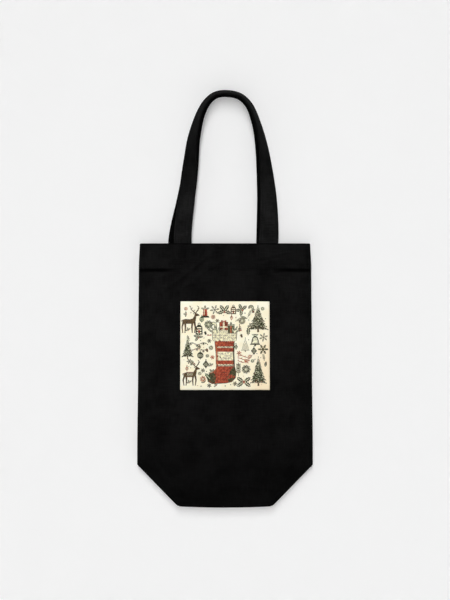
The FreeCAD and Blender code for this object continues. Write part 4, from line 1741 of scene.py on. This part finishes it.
for attempt in range(FILLER_TRIES):
    place = free_place(FILLER_MARGIN, FILLER_GAP)
    if place:
        x, y = place
        ink = rng.choice(("dark", "grey", "rust", "green_dark"))
        turn = rng.uniform(0, 90)
        fillers = ((snowflake, (2.6, ink, turn, 0.45)), (rosette, (2.2, ink, 7)),
                   (bauble, (1.8, ink)), (holly, (0.6, turn, 3)))
        draw, values = fillers[rng.randrange(len(fillers))]
        draw(pen, x, y, *values)
        taken += [(x, y), (x + 2, y), (x - 2, y), (x, y + 2), (x, y - 2)]
        counts["fillers"] += 1
for attempt in range(DOT_TRIES):
    place = free_place(DOT_MARGIN, DOT_GAP)
    if place:
        ink = rng.choice(("brown", "grey", "rust", "dark", "green"))
        pen.at(*place, rng.uniform(0, 90))
        if rng.random() < CROSS_SHARE:
            pen.stroke(ink, [(-0.9, 0), (0.9, 0)], 0.26)
            pen.stroke(ink, [(0, -0.9), (0, 0.9)], 0.26)
        else:
            pen.dot(ink, 0, 0, rng.uniform(0.3, 0.6))
        taken.append(place)
        counts["scattered"] += 1
print("shapes by ink:", {ink: len(shapes) for ink, shapes in sorted(pen.shapes.items())}, counts)

# %% [markdown]
# ### Inks
#
# Each ink becomes one thin film over the cream. Its flat shapes are cut along a fine grid, so
# that they can bend with the cloth, and are then laid on it. Screen printing leaves small pale
# breaks where the ink missed a thread, which noise gives. The inks are listed in the order in
# which they are printed, and each lies a little higher than the one before.

# %% The inks
INKS = {
    "dark": (36, 38, 20), "red": (158, 56, 36), "olive": (58, 56, 34), "fleece": (238, 226, 196),
    "grey": (78, 74, 50), "green": (50, 78, 46), "green_dark": (44, 52, 30),
    "brown": (82, 62, 38), "rust": (168, 84, 54), "line": (40, 34, 22), "pale": (246, 236, 204),
}
MISSED_SHARE = 0.30
FILM_THICK = 0.03 * MM
CUT_STEP = 6 * MM


def ink_finish(name, shade):
    """Matt ink, uneven in tone, that lets the cream through where it missed."""
    shader = Shader(name + "_ink")
    where = shader.cloth_map()
    height, _ = weave(shader, where, THREAD_PITCH)
    red, green, blue = shade
    lighter = colour(min(red + 28, 255), min(green + 24, 255), min(blue + 14, 255))
    darker = colour(red * 0.78, green * 0.78, blue * 0.78)
    tone = shader.noise(where, 420.0, 3.0, 0.6)
    base = shader.blend(tone.between(0.35, 0.65), darker, lighter)
    missed = shader.noise(shader.stretch(where, (2200.0, 1500.0, 0.0)), 1.0, 2.0, 0.6)
    amount = 0.0 if name in ("pale", "fleece") else MISSED_SHARE
    base = shader.blend(missed.between(0.62, 0.70) * amount, base, colour(238, 228, 192))
    return shader.surface(Base_Color=base, Roughness=0.6, Specular_IOR_Level=0.2,
                          Normal=shader.bump(height, 0.7, 0.12 * MM))


# %% Lay the inks


def lay_ink(name, shapes, lift):
    """One closed film from flat shapes, bent to lie on the cloth."""
    work = bmesh.new()
    for shape in shapes:
        corners = [work.verts.new((PRINT_LOW.x + x * MM, PRINT_LOW.z + y * MM, 0.0))
                   for x, y in shape]
        work.faces.new(corners)
    bmesh.ops.triangulate(work, faces=work.faces)
    for axis, low in ((0, PRINT_LOW.x), (1, PRINT_LOW.z)):
        for cut in range(1, int(PRINT_SIDE * MM / CUT_STEP) + 1):
            place, normal = Vector((0, 0, 0)), Vector((0, 0, 0))
            place[axis], normal[axis] = low + cut * CUT_STEP, 1.0
            bmesh.ops.bisect_plane(work, geom=work.verts[:] + work.edges[:] + work.faces[:],
                                   plane_co=place, plane_no=normal)
    bmesh.ops.dissolve_degenerate(work, edges=work.edges, dist=0.01 * MM)
    work.normal_update()
    bmesh.ops.reverse_faces(work, faces=[face for face in work.faces if face.normal.z < 0])
    layer = work.loops.layers.uv.new("cloth")
    for face in work.faces:
        for corner in face.loops:
            corner[layer].uv = corner.vert.co.xy
    for vertex in work.verts:
        vertex.co = on_cloth(FRONT, vertex.co.x, vertex.co.y, lift)[0]
    mesh = bpy.data.meshes.new("ink_" + name)
    work.to_mesh(mesh)
    work.free()
    film = new_object("ink_" + name, mesh)
    thicken(film, FILM_THICK)
    return film


for order, (name, shade) in enumerate(INKS.items()):
    film = lay_ink(name, pen.shapes[name], FILM_LIFT + (0.035 + 0.012 * order) * MM)
    film.data.materials.append(ink_finish(name, shade))
    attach(film, "bag")
    print(f"{film.name}: {triangles(film)} triangles")

# %% [markdown]
# ## Backdrop, lights and camera
#
# The bag hangs flat against a pale wall. The wall shows its own pale colour to the camera and
# keeps the soft shadow that falls on it. The main light is a tall narrow window far in front,
# mostly above the bag, so the shadow falls below the bottom edge and hardly spreads sideways.
# A small lamp above makes the body grow darker towards its base, deepened by painted shade in the
# canvas, and one behind lights the back.

# %% Backdrop
WALL_GAP = 6.5 * MM
WHITE, BLACK = colour(255, 255, 255), colour(0, 0, 0)
PALE = colour(242, 242, 242)
EVEN_LEVEL, EVEN_ACROSS, EVEN_UP = 0.230, 0.013, -0.060
GLOW = (10.0, 10.0, 10.0, 1.0)


def mixed(shader, factor, first, second):
    """Mixes two surfaces."""
    return shader.add("ShaderNodeMixShader", {}, factor, first, second)


def seen_by(shader, *rays):
    """1 for any of these kinds of ray."""
    first, *others = [shader.add("ShaderNodeLightPath", {}, result=ray) for ray in rays]
    for other in others:
        first = first.math("MAXIMUM", other)
    return first


def pale_surface(name, lit_share, level, across=0.0, up=0.0):
    """A backdrop that is partly plain pale colour and partly lit, so that shadows show on it."""
    shader = Shader(name)
    where = shader.place()
    grain = shader.noise(where, 60.0, 3.0)
    paper = shader.blend(grain, colour(250, 250, 250), colour(248, 248, 248))
    evened = where.part("X") * across + where.part("Z") * up + level
    plain = shader.add("ShaderNodeEmission", {}, shader.blend(evened, BLACK, GLOW))
    seen = seen_by(shader, "Is Camera Ray", "Is Glossy Ray", "Is Transmission Ray")
    front = mixed(shader, seen * (1 - lit_share),
                  shader.add("ShaderNodeBsdfDiffuse", {}, paper), plain)
    behind = shader.add("ShaderNodeNewGeometry", {}, result="Backfacing")
    return shader.finish(mixed(shader, behind, front, shader.add("ShaderNodeBsdfTransparent", {})))


def backdrop(name, corners, material):
    """One large flat face that takes shadows and casts none."""
    mesh = bpy.data.meshes.new(name)
    mesh.from_pydata(corners, [], [(0, 1, 2, 3)])
    piece = new_object(name, mesh)
    mesh.materials.append(material)
    piece.visible_shadow = False
    return piece


SQUARE = ((-1, -1), (1, -1), (1, 1), (-1, 1))
WALL_Y, WALL_REACH = DEPTH + WALL_GAP, 4
FLOOR_Z, FLOOR_REACH = -0.16, 60
FLOOR_LEVEL = 0.094
WALL_LIT, FLOOR_LIT = 0.88, 0.12
wall = backdrop("wall", [(x * WALL_REACH, WALL_Y, z * WALL_REACH) for x, z in SQUARE],
                pale_surface("wall_paint", WALL_LIT, EVEN_LEVEL, EVEN_ACROSS, EVEN_UP))
floor = backdrop("floor", [(x * FLOOR_REACH, y * FLOOR_REACH, FLOOR_Z) for x, y in SQUARE],
                 pale_surface("floor_paint", FLOOR_LIT, FLOOR_LEVEL))
print("wall at", round(WALL_Y / MM, 1), "mm behind the middle")

# %% [markdown]
# A lamp far away and tall gives an even light and a shadow that softens only downwards. The
# small lamp above would brighten the wall and the straps too much, and the rear one the wall, so
# light linking keeps them off, as a flag on a stand does in a studio.

# %% Lamps


def area_lamp(name, place, target, wide, high, watts):
    """A rectangular lamp that points at the target."""
    lamp = bpy.data.lights.new(name, "AREA")
    lamp.shape = "RECTANGLE"
    lamp.size = wide
    lamp.size_y = high
    lamp.energy = watts
    holder = bpy.data.objects.new(name, lamp)
    bpy.context.scene.collection.objects.link(holder)
    holder.location = place
    direction = Vector(target) - Vector(place)
    holder.rotation_euler = direction.to_track_quat("-Z", "Y").to_euler()
    return holder


def keep_off(lamp, *pieces):
    """A flag that keeps this lamp's light off these pieces."""
    flagged = bpy.data.collections.new("off_" + lamp.name)
    for piece in pieces:
        flagged.objects.link(piece)
    for entry in flagged.collection_objects:
        entry.light_linking.link_state = "EXCLUDE"
    lamp.light_linking.receiver_collection = flagged


MIDDLE = (0.0, 0.0, 0.24)
area_lamp("key", (-0.20, -4.00, 1.75), MIDDLE, 0.60, 3.20, 102.0)
top = area_lamp("top", (-0.34, -0.52, 1.05), (0.0, 0.0, 0.2), 0.40, 0.30, 4.6)
rear = area_lamp("rear", (0.0, 1.7, 0.30), MIDDLE, 0.9, 0.7, 26.0)
keep_off(rear, wall, floor)
keep_off(top, wall, floor, bpy.data.objects["front_strap"], bpy.data.objects["back_strap"])
print("lamps:", ", ".join(lamp.name for lamp in bpy.data.lights))

# %% [markdown]
# The world gives a little light from all round, and its own pale colour only where it is seen.

# %% World
ROOM_LIGHT = 0.06
room = Shader("room", bpy.data.worlds)
dim = room.add("ShaderNodeBackground", {}, WHITE, ROOM_LIGHT)
shown = room.add("ShaderNodeBackground", {}, PALE, 1.0)
seen = seen_by(room, "Is Camera Ray", "Is Transmission Ray")
bpy.context.scene.world = room.finish(mixed(room, seen, dim, shown), "ShaderNodeOutputWorld")
print("nodes in the world:", len(room.tree.nodes))

# %% [markdown]
# The camera stands level with the middle of the bag and straight in front, as for a catalogue,
# far enough away for the sides to look upright.

# %% Camera
VIEW_HEIGHT = 0.6936
CAMERA_AWAY = 1.93
CAMERA_MIDDLE = 0.2396
SENSOR = 36.0
lens = bpy.data.cameras.new("camera")
lens.sensor_width = SENSOR
lens.lens = SENSOR * CAMERA_AWAY / VIEW_HEIGHT
camera = bpy.data.objects.new("camera", lens)
bpy.context.scene.collection.objects.link(camera)
camera.location = (0.0, -CAMERA_AWAY, CAMERA_MIDDLE)
camera.rotation_euler = (math.pi / 2, 0.0, 0.0)
bpy.context.scene.camera = camera
bpy.context.scene.view_settings.view_transform = "Standard"
print(f"camera {CAMERA_AWAY} m away, lens {lens.lens:.1f} mm")
